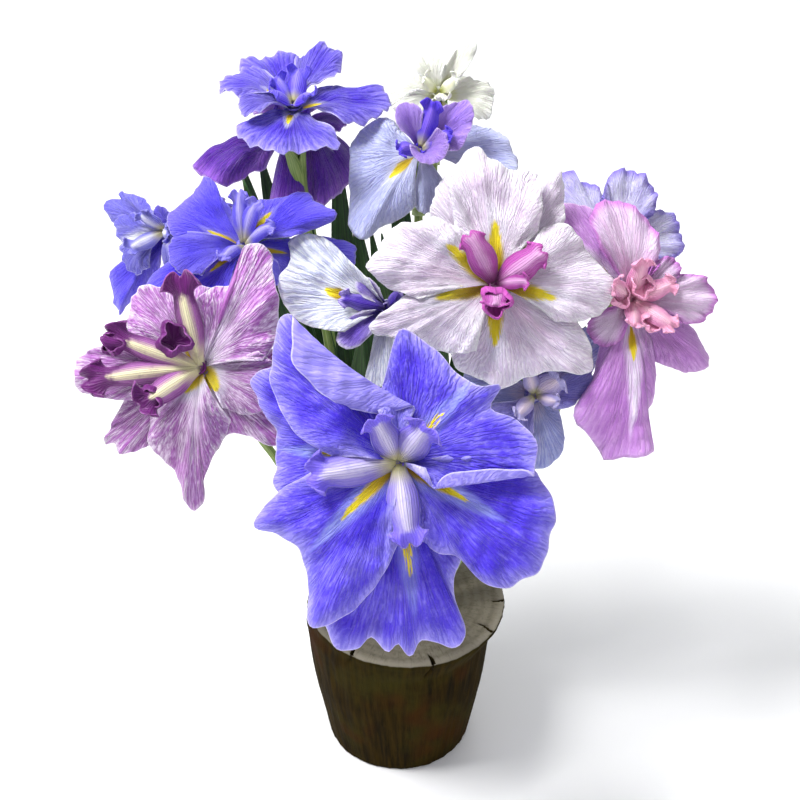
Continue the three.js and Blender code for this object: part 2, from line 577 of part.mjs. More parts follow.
/** Adds one sub-part, cut back to a small clearance from what was placed before it. */
function place(name, build, finish) {
  let solid = build(0);
  for (const earlier of placed) {
    if (earlier.box.intersectsBox(boxOf(solid))) solid = solid.subtract(earlier.envelope);
  }
  solid = largestBody(solid);
  const envelope = build(CLEARANCE).add(solid);
  placed.push({ envelope, box: boxOf(envelope) });
  const mesh = new THREE.Mesh(geometryOf(solid), new THREE.MeshStandardMaterial(finish));
  mesh.name = name;
  bouquet.add(mesh);
}

place('log_vase', logVase, { color: 0x4a3c26, roughness: 0.8, metalness: 0 });
place('water_cup', waterCup, { color: 0x8c8f92, roughness: 0.4, metalness: 1 });

for (const flower of FLOWERS) {
  const finish = { color: 0x7f9a4a, roughness: 0.6, metalness: 0 };
  place(`${flower.name}_stem`, (grow) => stem(flower, grow), finish);
}
for (const flower of FLOWERS) {
  ['falls', 'standards', 'styles'].forEach((kind, i) => {
    const finish = { color: flower.colours[i], roughness: 0.55, metalness: 0 };
    place(`${flower.name}_${kind}`, (grow) => ring(flower, kind, grow), finish);
  });
}
for (const fan of LEAF_FANS) {
  place(fan.name, (grow) => leafFan(fan, grow), { color: 0x2f5a1e, roughness: 0.6, metalness: 0 });
}

export default bouquet;
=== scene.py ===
"""A bouquet of Japanese irises in a hollowed log vase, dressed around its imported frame."""

import logging
import math
from collections.abc import Callable
from dataclasses import dataclass, field
from enum import Enum

import bmesh
import bpy
import numpy as np
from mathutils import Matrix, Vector, noise


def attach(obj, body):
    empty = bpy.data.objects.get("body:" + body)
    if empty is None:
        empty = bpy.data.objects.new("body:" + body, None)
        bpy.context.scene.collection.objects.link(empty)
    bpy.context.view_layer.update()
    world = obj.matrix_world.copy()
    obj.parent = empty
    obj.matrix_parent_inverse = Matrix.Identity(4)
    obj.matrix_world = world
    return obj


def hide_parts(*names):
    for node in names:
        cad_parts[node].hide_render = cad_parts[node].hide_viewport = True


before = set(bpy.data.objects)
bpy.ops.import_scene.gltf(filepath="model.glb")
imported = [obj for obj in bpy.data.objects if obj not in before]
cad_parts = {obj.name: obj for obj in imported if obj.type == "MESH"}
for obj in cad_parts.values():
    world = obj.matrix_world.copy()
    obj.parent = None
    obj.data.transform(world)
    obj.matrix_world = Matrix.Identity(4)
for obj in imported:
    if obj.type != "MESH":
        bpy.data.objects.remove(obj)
log = logging.getLogger("iris_bouquet")

MM = 0.001
Array = np.ndarray
Colour = tuple[float, float, float]
Surface = tuple[Array, Array, Array]

# The log vase, its hole and the metal cup in it, in millimetres.
LOG_HEIGHT = 110.0
LOG_TOP_RADIUS = 64.5
LOG_FOOT_RADIUS = 48.0
LOG_BELLY_RADIUS = 57.0
LOG_SHOULDER_RADIUS = 60.5
LOG_SHOULDER = 92.0
LOG_RIM_ROUND = 2.5
LOG_OFFSET = -4.6
HOLE_RADIUS = 28.0
HOLE_FLOOR = 20.0
CUP_GAP = 0.4
CUP_WALL = 1.2
CUP_RIM = 106.0
REST_GAP = 0.35
STEM_RADIUS = 3.1
STEM_RING = 20.3
STEM_FOOT = HOLE_FLOOR + CUP_GAP + CUP_WALL + REST_GAP
LEAF_RING = 24.4

# A flower is three rings on its axis: falls behind, standards, then style arms in front.
HUB_STEP = 2.55
OVARY_LENGTH = 20.0
CLAW_START = 2.5
WAIST = 0.84
LARGE_PETAL = 80.0

# Faces across and along each kind of sheet, and how thick the thin ones are, in millimetres.
PETAL_GRID = (30, 38)
ARM_GRID = (26, 26)
HUB_GRID = (18, 4)
STEM_GRID = (14, 90)
SHEATH_GRID = (12, 20)
LEAF_GRID = (12, 60)
CUP_COLUMNS = 72
LOG_COLUMNS = 360
PETAL_SHEET = 0.45
ARM_SHEET = 0.7
LEAF_SHEET = 0.9
SHEATH_SHEET = 0.5

# How far from the flower's centre a petal's claw still counts as far from an edge.
CLAW_MARGIN = 30

# How far below the flower the sheath on a stem starts.
SHEATH_FOOT = 58.0

# Each sheath's direction round its stem in radians, and its length.
SHEATHS = ((0.4, 52.0), (3.6, 44.0))


def rgb(code: str) -> Colour:
    """A linear colour from a hex colour code."""
    parts = [int(code[i:i + 2], 16) / 255 for i in (1, 3, 5)]
    return tuple(c / 12.92 if c <= 0.04045 else ((c + 0.055) / 1.055) ** 2.4 for c in parts)


def ease(value: Array, low: float, high: float) -> Array:
    """A smooth step from 0 at low to 1 at high."""
    t = np.clip((value - low) / (high - low), 0.0, 1.0)
    return t * t * (3 - 2 * t)


def rumple(x: Array, y: Array, seed: int, size: float) -> Array:
    """Smooth irregular swells over a plane, from about -1 to 1.

    Args:
        x: the points' first coordinate.
        y: the points' second coordinate.
        seed: the number that sets the swells.
        size: their usual length, in the coordinates' unit.

    Returns:
        Each point's height.
    """
    draw = np.random.RandomState(seed).uniform(0, 1, (6, 3))
    height = np.zeros_like(x)
    for turn, stretch, phase in draw:
        way = x * math.cos(math.pi * turn) + y * math.sin(math.pi * turn)
        height = height + np.sin(2 * math.pi * (way / (size * (0.7 + 0.8 * stretch)) + phase))
    return height / 2.4


# ---------------------------------------------------------------- shader expressions


class Wire:
    """A value in a material that adds Math nodes as Python expressions use it."""

    def __init__(self, graph: "Graph", socket: bpy.types.NodeSocket) -> None:
        """Keeps the graph that the value belongs to and its socket."""
        self.graph = graph
        self.socket = socket

    def math(self, operation: str, *others: "Wire | float", first: bool = True) -> "Wire":
        """Adds one Math node.

        Args:
            operation: the Math node's operation.
            others: the node's other values, after this one.
            first: whether this value is the node's first.

        Returns:
            The node's value.
        """
        values = [self, *others] if first else [*others, self]
        return self.graph.node("ShaderNodeMath", {"operation": operation}, dict(enumerate(values)))

    def __add__(self, other: "Wire | float") -> "Wire":
        """This value plus another."""
        return self.math("ADD", other)

    __radd__ = __add__

    def __sub__(self, other: "Wire | float") -> "Wire":
        """This value less another."""
        return self.math("SUBTRACT", other)

    def __rsub__(self, other: "Wire | float") -> "Wire":
        """Another value less this one."""
        return self.math("SUBTRACT", other, first=False)

    def __mul__(self, other: "Wire | float") -> "Wire":
        """This value times another."""
        return self.math("MULTIPLY", other)

    __rmul__ = __mul__

    def __truediv__(self, other: "Wire | float") -> "Wire":
        """This value over another."""
        return self.math("DIVIDE", other)

    def __pow__(self, other: "Wire | float") -> "Wire":
        """This value to a power."""
        return self.math("POWER", other)

    def __abs__(self) -> "Wire":
        """This value without its sign."""
        return self.math("ABSOLUTE")

    def step(self, low: "Wire | float", high: "Wire | float") -> "Wire":
        """A smooth step from 0 at low to 1 at high."""
        inputs = {"Value": self, "From Min": low, "From Max": high}
        return self.graph.node("ShaderNodeMapRange", {"interpolation_type": "SMOOTHSTEP"}, inputs)


class Graph:
    """A material's nodes."""

    def __init__(self, name: str) -> None:
        """Makes an empty material with a Principled shader.

        Args:
            name: the material's name.
        """
        self.material = bpy.data.materials.new(name)
        self.material.use_nodes = True
        self.tree = self.material.node_tree
        self.shader = self.tree.nodes["Principled BSDF"]

    def node(self, kind: str, settings: dict | None = None, inputs: dict | None = None,
             output: int | str = 0) -> Wire:
        """Adds a node.

        Args:
            kind: the node's type.
            settings: properties that are set first.
            inputs: values or wires for its sockets, by name or number.
            output: the output that is wanted.

        Returns:
            That output.
        """
        made = self.tree.nodes.new(kind)
        for key, value in (settings or {}).items():
            setattr(made, key, value)
        for key, value in (inputs or {}).items():
            self.join(value, made.inputs[key])
        return Wire(self, made.outputs[output])

    def join(self, value: "Wire | float | tuple", socket: bpy.types.NodeSocket) -> None:
        """Links a wire to a socket, or sets a plain value on it.

        Args:
            value: the wire, number or colour.
            socket: the socket that takes it.
        """
        if isinstance(value, Wire):
            self.tree.links.new(value.socket, socket)
        elif isinstance(value, tuple) and len(value) == 3 and socket.type == "RGBA":
            socket.default_value = (*value, 1.0)
        else:
            socket.default_value = value

    def mix(self, amount: "Wire | float", low: "Wire | Colour", high: "Wire | Colour") -> Wire:
        """A colour between two others.

        Args:
            amount: 0 for the first colour, 1 for the second.
            low: the first colour.
            high: the second colour.

        Returns:
            The mixed colour.
        """
        settings = {"data_type": "RGBA", "clamp_factor": True}
        return self.node("ShaderNodeMix", settings, {0: amount, 6: low, 7: high}, output=2)

    def split(self, name: str) -> tuple[Wire, Wire, Wire]:
        """The three parts of a mesh attribute."""
        whole = self.node("ShaderNodeAttribute", {"attribute_name": name}, output="Vector")
        return self.parts(whole)

    def parts(self, whole: Wire) -> tuple[Wire, Wire, Wire]:
        """Takes a vector apart.

        Args:
            whole: the vector.

        Returns:
            Its X, Y and Z.
        """
        first = self.node("ShaderNodeSeparateXYZ", inputs={0: whole})
        outputs = first.socket.node.outputs
        return first, Wire(self, outputs[1]), Wire(self, outputs[2])

    def place(self) -> Wire:
        """Object coordinates, in metres."""
        return self.node("ShaderNodeTexCoord", output="Object")

    def vector(self, x: "Wire | float", y: "Wire | float", z: "Wire | float") -> Wire:
        """A vector from its three parts."""
        return self.node("ShaderNodeCombineXYZ", inputs={0: x, 1: y, 2: z})

    def noise(self, where: Wire, scale: float, detail: float = 2.0, rough: float = 0.5) -> Wire:
        """Cloudy noise from 0 to 1."""
        inputs = {"Vector": where, "Scale": scale, "Detail": detail, "Roughness": rough}
        return self.node("ShaderNodeTexNoise", inputs=inputs)

    def bump(self, height: Wire, distance: float, strength: float = 1.0) -> None:
        """Sends a height to the shader's normal."""
        inputs = {"Height": height, "Distance": distance, "Strength": strength}
        self.join(self.node("ShaderNodeBump", inputs=inputs), self.shader.inputs["Normal"])

    def set(self, **values: "Wire | float | tuple") -> bpy.types.Material:
        """Sets the shader's sockets.

        Args:
            values: what each socket takes, by its name with underscores for spaces.

        Returns:
            The material.
        """
        for key, value in values.items():
            self.join(value, self.shader.inputs[key.replace("_", " ")])
        return self.material


# ---------------------------------------------------------------- finishes

# The green at a petal's claw and the pale green at a leaf's or stem's foot.
CLAW_GREEN = rgb("#b9c48c")
FOOT_GREEN = rgb("#b7c58a")

# The shader settings that petals and style arms share.
PETAL_BODY = {"Subsurface_Weight": 0.25, "Subsurface_Radius": (0.9, 0.7, 0.9), "Subsurface_Scale": 0.002,
              "Sheen_Weight": 0.15, "Sheen_Roughness": 0.4, "Specular_IOR_Level": 0.3}


@dataclass(frozen=True)
class Signal:
    """The yellow flash at a petal's claw.

    Sizes are in millimetres from the flower's centre and across the midrib.
    """

    start: float = 6.0
    end: float = 34.0
    width: float = 3.6
    colour: Colour = rgb("#f2dc1e")
    root: Colour = rgb("#c4a512")
    halo: Colour = rgb("#e6e4f4")
    halo_amount: float = 0.5
    halo_length: float = 1.5


@dataclass(frozen=True)
class PetalFinish:
    """A petal's colours, from claw to margin, and its veins."""

    blade: Colour
    heart: Colour
    margin: Colour
    vein: Colour
    hem: Colour
    reverse: Colour
    signal: Signal = field(default_factory=Signal)
    heart_end: float = 0.45
    margin_width: float = 16.0
    hem_width: float = 0.5
    veins: float = 0.5
    vein_count: float = 11.0
    vein_sharpness: float = 7.0
    blotch: float = 0.35
    streaks: float = 0.0

    def vein_mask(self, graph: Graph, u: Wire, v: Wire, along: Wire) -> Wire:
        """Veins that fan out from the claw and branch towards the margin.

        Args:
            graph: the material's nodes.
            u: the place across the petal, from -1 to 1.
            v: the place along it, from 0 to 1.
            along: noise that is drawn out along the veins.

        Returns:
            1 on a vein and 0 between veins.
        """
        across = u * (1 - 0.30 * v) + (along - 0.5) * 0.16
        turn = across * (self.vein_count * math.pi)
        first = abs(turn.math("COSINE")) ** self.vein_sharpness
        branch = abs(turn.math("SINE")) ** self.vein_sharpness * v.step(0.22, 0.5)
        twig = abs((turn * 2 + math.pi / 4).math("SINE")) ** self.vein_sharpness * v.step(0.45, 0.75) * 0.7
        return first.math("MAXIMUM", branch).math("MAXIMUM", twig)

    def face(self, name: str) -> bpy.types.Material:
        """Makes the upper side's material.

        Args:
            name: the material's name.

        Returns:
            The material.
        """
        graph = Graph(name)
        u, v, flash = graph.split("petal")
        side, reach, hem = graph.split("span")
        seat = graph.place()
        cloud = graph.noise(seat, 38.0, 4.0, 0.6)
        along = graph.noise(graph.vector(u * 5.0, v * 1.3, cloud * 0.6), 2.2, 3.0, 0.6)
        fine = graph.noise(graph.vector(u * 30.0, v * 6.0, cloud), 1.6, 3.0, 0.6)
        speck = graph.noise(seat, 520.0, 2.0, 0.6)
        lines = self.vein_mask(graph, u, v, along)
        ground = graph.mix((v + (cloud - 0.5) * 0.5 + (along - 0.5) * 0.5).step(0.04, self.heart_end),
                           self.heart, self.blade)
        wander = (along - 0.5) * 1.3 + (cloud - 0.5) * 1.5
        edge = 1 - (hem + wander * self.margin_width * 0.55).step(0.0, self.margin_width)
        ground = graph.mix(edge * 0.85, ground, self.margin)
        pale = (cloud * 0.55 + fine * 0.45).step(0.44, 0.66) * self.blotch
        ground = graph.mix(pale, ground, self.margin)
        deep = (along * 0.5 + cloud * 0.5).step(0.54, 0.38) * self.blotch * 0.8
        ground = graph.mix(deep, ground, self.heart)
        if self.streaks > 0:
            patch = (along * 0.6 + cloud * 0.4 + (fine - 0.5) * 0.35).step(0.44, 0.58)
            ground = graph.mix(patch * self.streaks, ground, self.hem)
            fleck = (fine * 0.6 + cloud * 0.4).step(0.53, 0.62) * self.streaks * 0.55
            ground = graph.mix(fleck, ground, self.vein)
        fade = hem.step(0.0, 5.0) * 0.6 + 0.4
        ground = graph.mix(lines * (fine * 1.4 + 0.2) * fade * self.veins, ground, self.vein)
        ground = graph.mix(speck.step(0.5, 0.8) * 0.08, ground, self.hem)
        rim = (1 - (hem + (fine - 0.5) * 0.8).step(0.0, self.hem_width * 2)) * 0.75
        ground = graph.mix(rim, ground, self.hem)
        ground = self.flash(graph, ground, abs(side), reach, lines, fine, flash)
        graph.bump(lines * 0.5 + fine * 0.9 + speck * 0.2 + along * 0.8, 0.0014, 0.9)
        return graph.set(Base_Color=ground, Roughness=0.52 + (fine - 0.5) * 0.2, **PETAL_BODY)

    def flash(self, graph: Graph, ground: Wire, side: Wire, reach: Wire, lines: Wire, fine: Wire,
              amount: Wire) -> Wire:
        """Lays the yellow signal and its pale halo on the petal.

        Args:
            graph: the material's nodes.
            ground: the petal's colour.
            side: the distance from the midrib in millimetres.
            reach: the distance from the flower's centre in millimetres.
            lines: the vein mask.
            fine: fine noise.
            amount: how much of the signal this petal shows.

        Returns:
            The petal's colour with its signal.
        """
        mark = self.signal
        length = mark.end - mark.start
        ragged = side + (fine - 0.5) * mark.width * 0.9
        way = (reach - mark.start) / length
        room = (1 - way).math("MAXIMUM", 0.001) ** 0.6 * mark.width * way.step(-0.5, 0.4)
        inner = (1 - (ragged / (room + 0.05)).step(0.55, 1.15)) * way.step(1.05, 0.9)
        halo_way = (reach - mark.start) / (length * mark.halo_length)
        halo_room = (1 - halo_way).math("MAXIMUM", 0.001) ** 0.8 * mark.width * 2.1
        outer = (1 - (ragged / (halo_room + 0.05)).step(0.3, 1.2)) * halo_way.step(1.05, 0.7)
        ground = graph.mix(outer * (lines * 0.5 + 0.5) * amount * mark.halo_amount, ground, mark.halo)
        rich = graph.mix(way.step(0.0, 0.9) * (fine * 0.8 + 0.5), mark.root, mark.colour)
        streak = lines * 0.7 + fine * 0.3
        return graph.mix(inner * (streak + amount * 2 - 1.6).step(0.0, 0.3), ground, rich)

    def back(self, name: str) -> bpy.types.Material:
        """Makes the under side's material, paler and with raised veins.

        Args:
            name: the material's name.

        Returns:
            The material.
        """
        graph = Graph(name)
        u, v, _ = graph.split("petal")
        _, _, hem = graph.split("span")
        cloud = graph.noise(graph.place(), 40.0, 3.0)
        along = graph.noise(graph.vector(u * 5.0, v * 1.3, cloud * 0.6), 2.2, 3.0, 0.6)
        lines = self.vein_mask(graph, u, v, along)
        ground = graph.mix(cloud.step(0.3, 0.8) * 0.5 + v.step(0.5, 0.0) * 0.4, self.reverse, self.margin)
        ground = graph.mix(lines * 0.35, ground, self.vein)
        ground = graph.mix(v.step(0.22, 0.0), ground, CLAW_GREEN)
        ground = graph.mix(1 - hem.step(0.4, 1.6), ground, self.hem)
        graph.bump(lines, 0.0005, 0.7)
        return graph.set(Base_Color=ground, Roughness=0.55, **PETAL_BODY)


@dataclass(frozen=True)
class StyleFinish:
    """A style arm's colours: its midrib, its sides, its edges and its crest."""

    rib: Colour
    side: Colour
    edge: Colour
    crest: Colour
    throat: Colour = rgb("#cfc98c")
    crest_start: float = 0.72

    def dress(self, name: str) -> bpy.types.Material:
        """Makes the arm's material.

        Args:
            name: the material's name.

        Returns:
            The material.
        """
        graph = Graph(name)
        u, v, lump = graph.split("petal")
        _, _, hem = graph.split("span")
        cloud = graph.noise(graph.place(), 150.0, 3.0, 0.6)
        along = graph.noise(graph.vector(u * 6.0, v * 1.2, cloud * 0.5), 2.0, 2.0)
        width = abs(u) + (along - 0.5) * 0.7
        ground = graph.mix(width.step(0.08, 0.6), self.rib, self.side)
        ground = graph.mix((1 - hem.step(0.2, 2.4)) * v.step(0.12, 0.4) * 0.8, ground, self.edge)
        ground = graph.mix(v.step(0.3, 0.02), ground, self.throat)
        tip = (v + (cloud - 0.5) * 0.25 + abs(u) * 0.12).step(self.crest_start, self.crest_start + 0.12)
        ground = graph.mix(tip.math("MAXIMUM", lump), ground, self.crest)
        lines = abs((u * 20.0 + along * 3).math("SINE")) ** 4.0
        ground = graph.mix(lines * 0.2 + cloud.step(0.5, 0.75) * 0.25, ground, self.edge)
        ground = graph.mix((1 - hem.step(0.0, 0.9)) * 0.5, ground, self.side)
        graph.bump(lines * 0.5 + along * 0.4 + cloud * 0.5, 0.0008, 0.8)
        return graph.set(Base_Color=ground, Roughness=0.45, **PETAL_BODY)


@dataclass(frozen=True)
class GreenFinish:
    """A leaf's or stem's greens, with fine parallel ribs."""

    dark: Colour
    light: Colour
    ribs: float = 26.0

    def dress(self, name: str) -> bpy.types.Material:
        """Makes the green material.

        Args:
            name: the material's name.

        Returns:
            The material.
        """
        graph = Graph(name)
        u, v, _ = graph.split("petal")
        cloud = graph.noise(graph.place(), 45.0, 4.0)
        along = graph.noise(graph.vector(u * 7.0, v * 2.0, cloud * 0.5), 2.0, 3.0)
        lines = abs((u * self.ribs + along * 2).math("SINE")) ** 3.0
        ground = graph.mix(along.step(0.3, 0.7), self.dark, self.light)
        ground = graph.mix(lines * 0.35, ground, self.dark)
        ground = graph.mix(v.step(0.3, 0.0) * 0.5, ground, FOOT_GREEN)
        graph.bump(lines * 0.6 + along * 0.4, 0.0003, 0.6)
        return graph.set(Base_Color=ground, Roughness=0.42 + cloud * 0.15, Subsurface_Weight=0.1,
                         Subsurface_Scale=0.002, Coat_Weight=0.08, Coat_Roughness=0.35)


@dataclass(frozen=True)
class LogFinish:
    """A dark, damp log with a weathered sawn top."""

    dark: Colour = rgb("#140e03")
    brown: Colour = rgb("#332608")
    olive: Colour = rgb("#332f0c")
    rust: Colour = rgb("#3a1c06")
    sawn: Colour = rgb("#7f796a")
    sawn_dark: Colour = rgb("#4b4639")
    rim: Colour = rgb("#918b7c")

    def dress(self, name: str) -> bpy.types.Material:
        """Makes the log's material.

        Args:
            name: the material's name.

        Returns:
            The material.
        """
        graph = Graph(name)
        seat = graph.place()
        x, y, z = graph.parts(seat)
        radius = (x * x + y * y).math("SQRT") / MM
        height = z / MM
        angle = y.math("ARCTAN2", x)
        cloud = graph.noise(seat, 22.0, 5.0, 0.6)
        around = graph.vector(angle.math("SINE") * 3.0, angle.math("COSINE") * 3.0, z * 4.5)
        streak = graph.noise(around, 7.0, 5.0, 0.65)
        fibre = graph.noise(around, 30.0, 3.0, 0.6)
        bark = graph.mix(streak.step(0.3, 0.7), self.dark, self.brown)
        patch = graph.noise(seat, 26.0, 2.0)
        bark = graph.mix(cloud.step(0.45, 0.7) * 0.7, bark, self.olive)
        bark = graph.mix(patch.step(0.5, 0.7) * 0.6, bark, self.rust)
        bark = graph.mix(fibre.step(0.52, 0.75) * 0.45, bark, self.dark)
        bark = graph.mix(height.step(LOG_HEIGHT * 0.9, LOG_HEIGHT) * 0.25, bark, self.olive)
        rings = (radius * 0.9 + cloud * 9 + streak * 3).math("SINE")
        sawn = graph.mix(rings.step(-0.2, 1.0) * 0.25, self.sawn, self.sawn_dark)
        sawn = graph.mix(cloud.step(0.35, 0.7) * 0.45, sawn, self.sawn_dark)
        rays = graph.noise(graph.vector(angle * 9.0, radius * 0.02, 0.0), 5.0, 2.0)
        sawn = graph.mix(rays.step(0.55, 0.7) * 0.45, sawn, self.sawn_dark)
        pores = graph.noise(seat, 420.0, 3.0, 0.7)
        sawn = graph.mix(pores.step(0.5, 0.68) * 0.4, sawn, self.sawn_dark)
        sawn = graph.mix(radius.step(LOG_TOP_RADIUS - 6, LOG_TOP_RADIUS - 1) * 0.6, sawn, self.rim)
        depth, _, _ = graph.split("crack")
        top = height.step(LOG_HEIGHT - 1.7, LOG_HEIGHT - 0.7)
        inside = radius.step(HOLE_RADIUS + 1.5, HOLE_RADIUS + 0.5)
        ground = graph.mix(top.math("MAXIMUM", inside), bark, sawn)
        # Painted shade: the cracks are darkened along their depth, on top of the cut that the mesh already
        # has.
        ground = graph.mix(depth.step(0.15, 0.9), ground, self.dark)
        graph.bump(streak * 0.4 + fibre * 0.4, 0.0010, 0.5)
        return graph.set(Base_Color=ground, Roughness=0.7 + streak * 0.25, Specular_IOR_Level=0.04)


@dataclass(frozen=True)
class CupFinish:
    """Dull galvanised sheet."""

    light: Colour = rgb("#a9adb0")
    dark: Colour = rgb("#74797c")

    def dress(self, name: str) -> bpy.types.Material:
        """Makes the cup's material.

        Args:
            name: the material's name.

        Returns:
            The material.
        """
        graph = Graph(name)
        seat = graph.place()
        inputs = {"Vector": seat, "Scale": 260.0}
        flakes = graph.node("ShaderNodeTexVoronoi", inputs=inputs, output="Distance")
        cloud = graph.noise(seat, 60.0, 4.0)
        ground = graph.mix(flakes.step(0.2, 0.7) * 0.6 + cloud.step(0.4, 0.7) * 0.3, self.light, self.dark)
        graph.bump(cloud, 0.0003, 0.4)
        return graph.set(Base_Color=ground, Metallic=1.0, Roughness=0.35 + cloud * 0.25)


# ---------------------------------------------------------------- sheets and tubes


class Sheets:
    """Grids bent into thin sheets and gathered into one mesh."""

    def __init__(self, name: str) -> None:
        """Starts an empty mesh with its pattern attributes.

        Args:
            name: the mesh's name.
        """
        self.name = name
        self.mesh = bmesh.new()
        self.petal = self.mesh.verts.layers.float_vector.new("petal")
        self.span = self.mesh.verts.layers.float_vector.new("span")

    def add(self, columns: int, rows: int, shape: Callable[[Array, Array], tuple[Array, Array]],
            tag: float = 0.0, close: bool = False) -> None:
        """Adds a grid whose place is a function of u, from -1 to 1 across, and v, from 0 to 1 along.

        Args:
            columns: the number of faces across.
            rows: the number of faces along.
            shape: gives the points in metres and the span attribute, from u and v.
            tag: the petal attribute's third value.
            close: whether the grid's two sides and its ends are joined up.
        """
        made = bmesh.ops.create_grid(self.mesh, x_segments=columns, y_segments=rows, size=1.0)["verts"]
        flat = np.array([vert.co[:2] for vert in made])
        u, v = -flat[:, 0], (flat[:, 1] + 1) / 2
        points, span = shape(u, v)
        mark = np.abs(u) if close else u
        for i, vert in enumerate(made):
            vert.co = points[i]
            vert[self.petal] = (mark[i], v[i], tag)
            vert[self.span] = span[i]
        if close:
            bmesh.ops.remove_doubles(self.mesh, verts=made, dist=1e-6)

    def finish(self, materials: list[bpy.types.Material], thickness: float = 0.0) -> bpy.types.Object:
        """Makes the object.

        Args:
            materials: the face's material, and the reverse's where the sheet gets a thickness.
            thickness: the sheet's thickness in millimetres, or 0 for a closed shape.

        Returns:
            The object, which is linked to the scene.
        """
        for face in self.mesh.faces:
            face.smooth = True
        data = bpy.data.meshes.new(self.name)
        self.mesh.to_mesh(data)
        self.mesh.free()
        for material in materials:
            data.materials.append(material)
        piece = bpy.data.objects.new(self.name, data)
        bpy.context.scene.collection.objects.link(piece)
        if thickness:
            solid = piece.modifiers.new("thickness", "SOLIDIFY")
            solid.thickness = thickness * MM
            solid.offset = 0.0
            solid.material_offset = len(materials) - 1
        return piece


def smooth_path(points: list[tuple[float, float, float]], count: int) -> Array:
    """A centripetal Catmull-Rom curve through points.

    Args:
        points: the points that the curve passes.
        count: how many points to take on each stretch.

    Returns:
        Points along the curve, one row each.
    """
    known = np.array(points, float)
    known = np.vstack([2 * known[0] - known[1], known, 2 * known[-1] - known[-2]])
    rows = []
    for a, b, c, d in zip(known, known[1:], known[2:], known[3:]):
        gaps = [max(float(np.linalg.norm(q - p)) ** 0.5, 1e-4) for p, q in ((a, b), (b, c), (c, d))]
        start = ((b - a) / gaps[0] - (c - a) / (gaps[0] + gaps[1]) + (c - b) / gaps[1]) * gaps[1]
        end = ((c - b) / gaps[1] - (d - b) / (gaps[1] + gaps[2]) + (d - c) / gaps[2]) * gaps[1]
        t = np.linspace(0, 1, count, endpoint=False)[:, None]
        square = 3 * (c - b) - 2 * start - end
        cube = 2 * (b - c) + start + end
        rows.append(b + t * start + t ** 2 * square + t ** 3 * cube)
    return np.vstack([*rows, known[-2]])


class Path:
    """A smooth curve measured by its length, with a steady frame along it."""

    def __init__(self, points: list[tuple[float, float, float]]) -> None:
        """Samples the curve and turns a frame along it without twist.

        Args:
            points: the points that the curve passes.
        """
        self.points = smooth_path(points, 24)
        steps = np.linalg.norm(np.diff(self.points, axis=0), axis=1)
        self.lengths = np.concatenate([[0.0], np.cumsum(steps)])
        self.length = float(self.lengths[-1])
        tangents = np.gradient(self.points, axis=0)
        self.tangents = tangents / np.linalg.norm(tangents, axis=1)[:, None]
        side = np.array([1.0, 0.0, 0.0])
        sides = []
        for tangent in self.tangents:
            side = side - tangent * side.dot(tangent)
            side = side / np.linalg.norm(side)
            sides.append(side)
        self.sides = np.array(sides)

    def sample(self, table: Array, distance: Array) -> Array:
        """Rows of a table along the curve, at distances from its start."""
        return np.stack([np.interp(distance, self.lengths, table[:, k]) for k in range(3)], axis=1)

    def around(self, distance: Array, angle: Array, radius: Array) -> Array:
        """Places points round the curve.

        Args:
            distance: how far along the curve each point lies.
            angle: its direction round the curve in radians.
            radius: its distance from the curve.

        Returns:
            The points, one row each.
        """
        centre = self.sample(self.points, distance)
        tangent = self.sample(self.tangents, distance)
        side = self.sample(self.sides, distance)
        other = np.cross(tangent, side)
        return centre + radius[:, None] * (np.cos(angle)[:, None] * side + np.sin(angle)[:, None] * other)


def ring_point(slot: float, radius: float, z: float) -> tuple[float, float, float]:
    """A point on a ring round the vase's axis."""
    turn = math.radians(slot)
    return (radius * math.cos(turn), radius * math.sin(turn), z)


# ---------------------------------------------------------------- flowers


@dataclass(frozen=True)
class Fold:
    """A crease that rolls the part of a petal beyond a line forward over the rest.

    The bow bends the line's middle towards the part that is rolled.
    """

    start: tuple[float, float]
    end: tuple[float, float]
    radius: float = 1.8
    turn: float = 165.0
    bow: float = 0.0

    def roll(self, x: Array, y: Array, z: Array) -> Surface:
        """Rolls the points that lie on the left of the line from start to end.

        Args:
            x: the points' first coordinate.
            y: their second coordinate.
            z: their height.

        Returns:
            The coordinates after the fold.
        """
        line = np.array(self.end) - np.array(self.start)
        length = np.linalg.norm(line)
        along = line / length
        out = np.array([-along[1], along[0]])
        way = np.clip(((x - self.start[0]) * along[0] + (y - self.start[1]) * along[1]) / length, 0.0, 1.0)
        sag = 4 * self.bow * way * (1 - way)
        beyond = np.maximum((x - self.start[0]) * out[0] + (y - self.start[1]) * out[1] - sag, 0.0)
        last = math.radians(self.turn)
        angle = np.minimum(beyond / self.radius, last)
        rest = np.maximum(beyond - self.radius * last, 0.0)
        shift = self.radius * np.sin(angle) + rest * math.cos(last) - beyond
        lift = self.radius * (1 - np.cos(angle)) + rest * math.sin(last)
        return x + out[0] * shift, y + out[1] * shift, z + lift


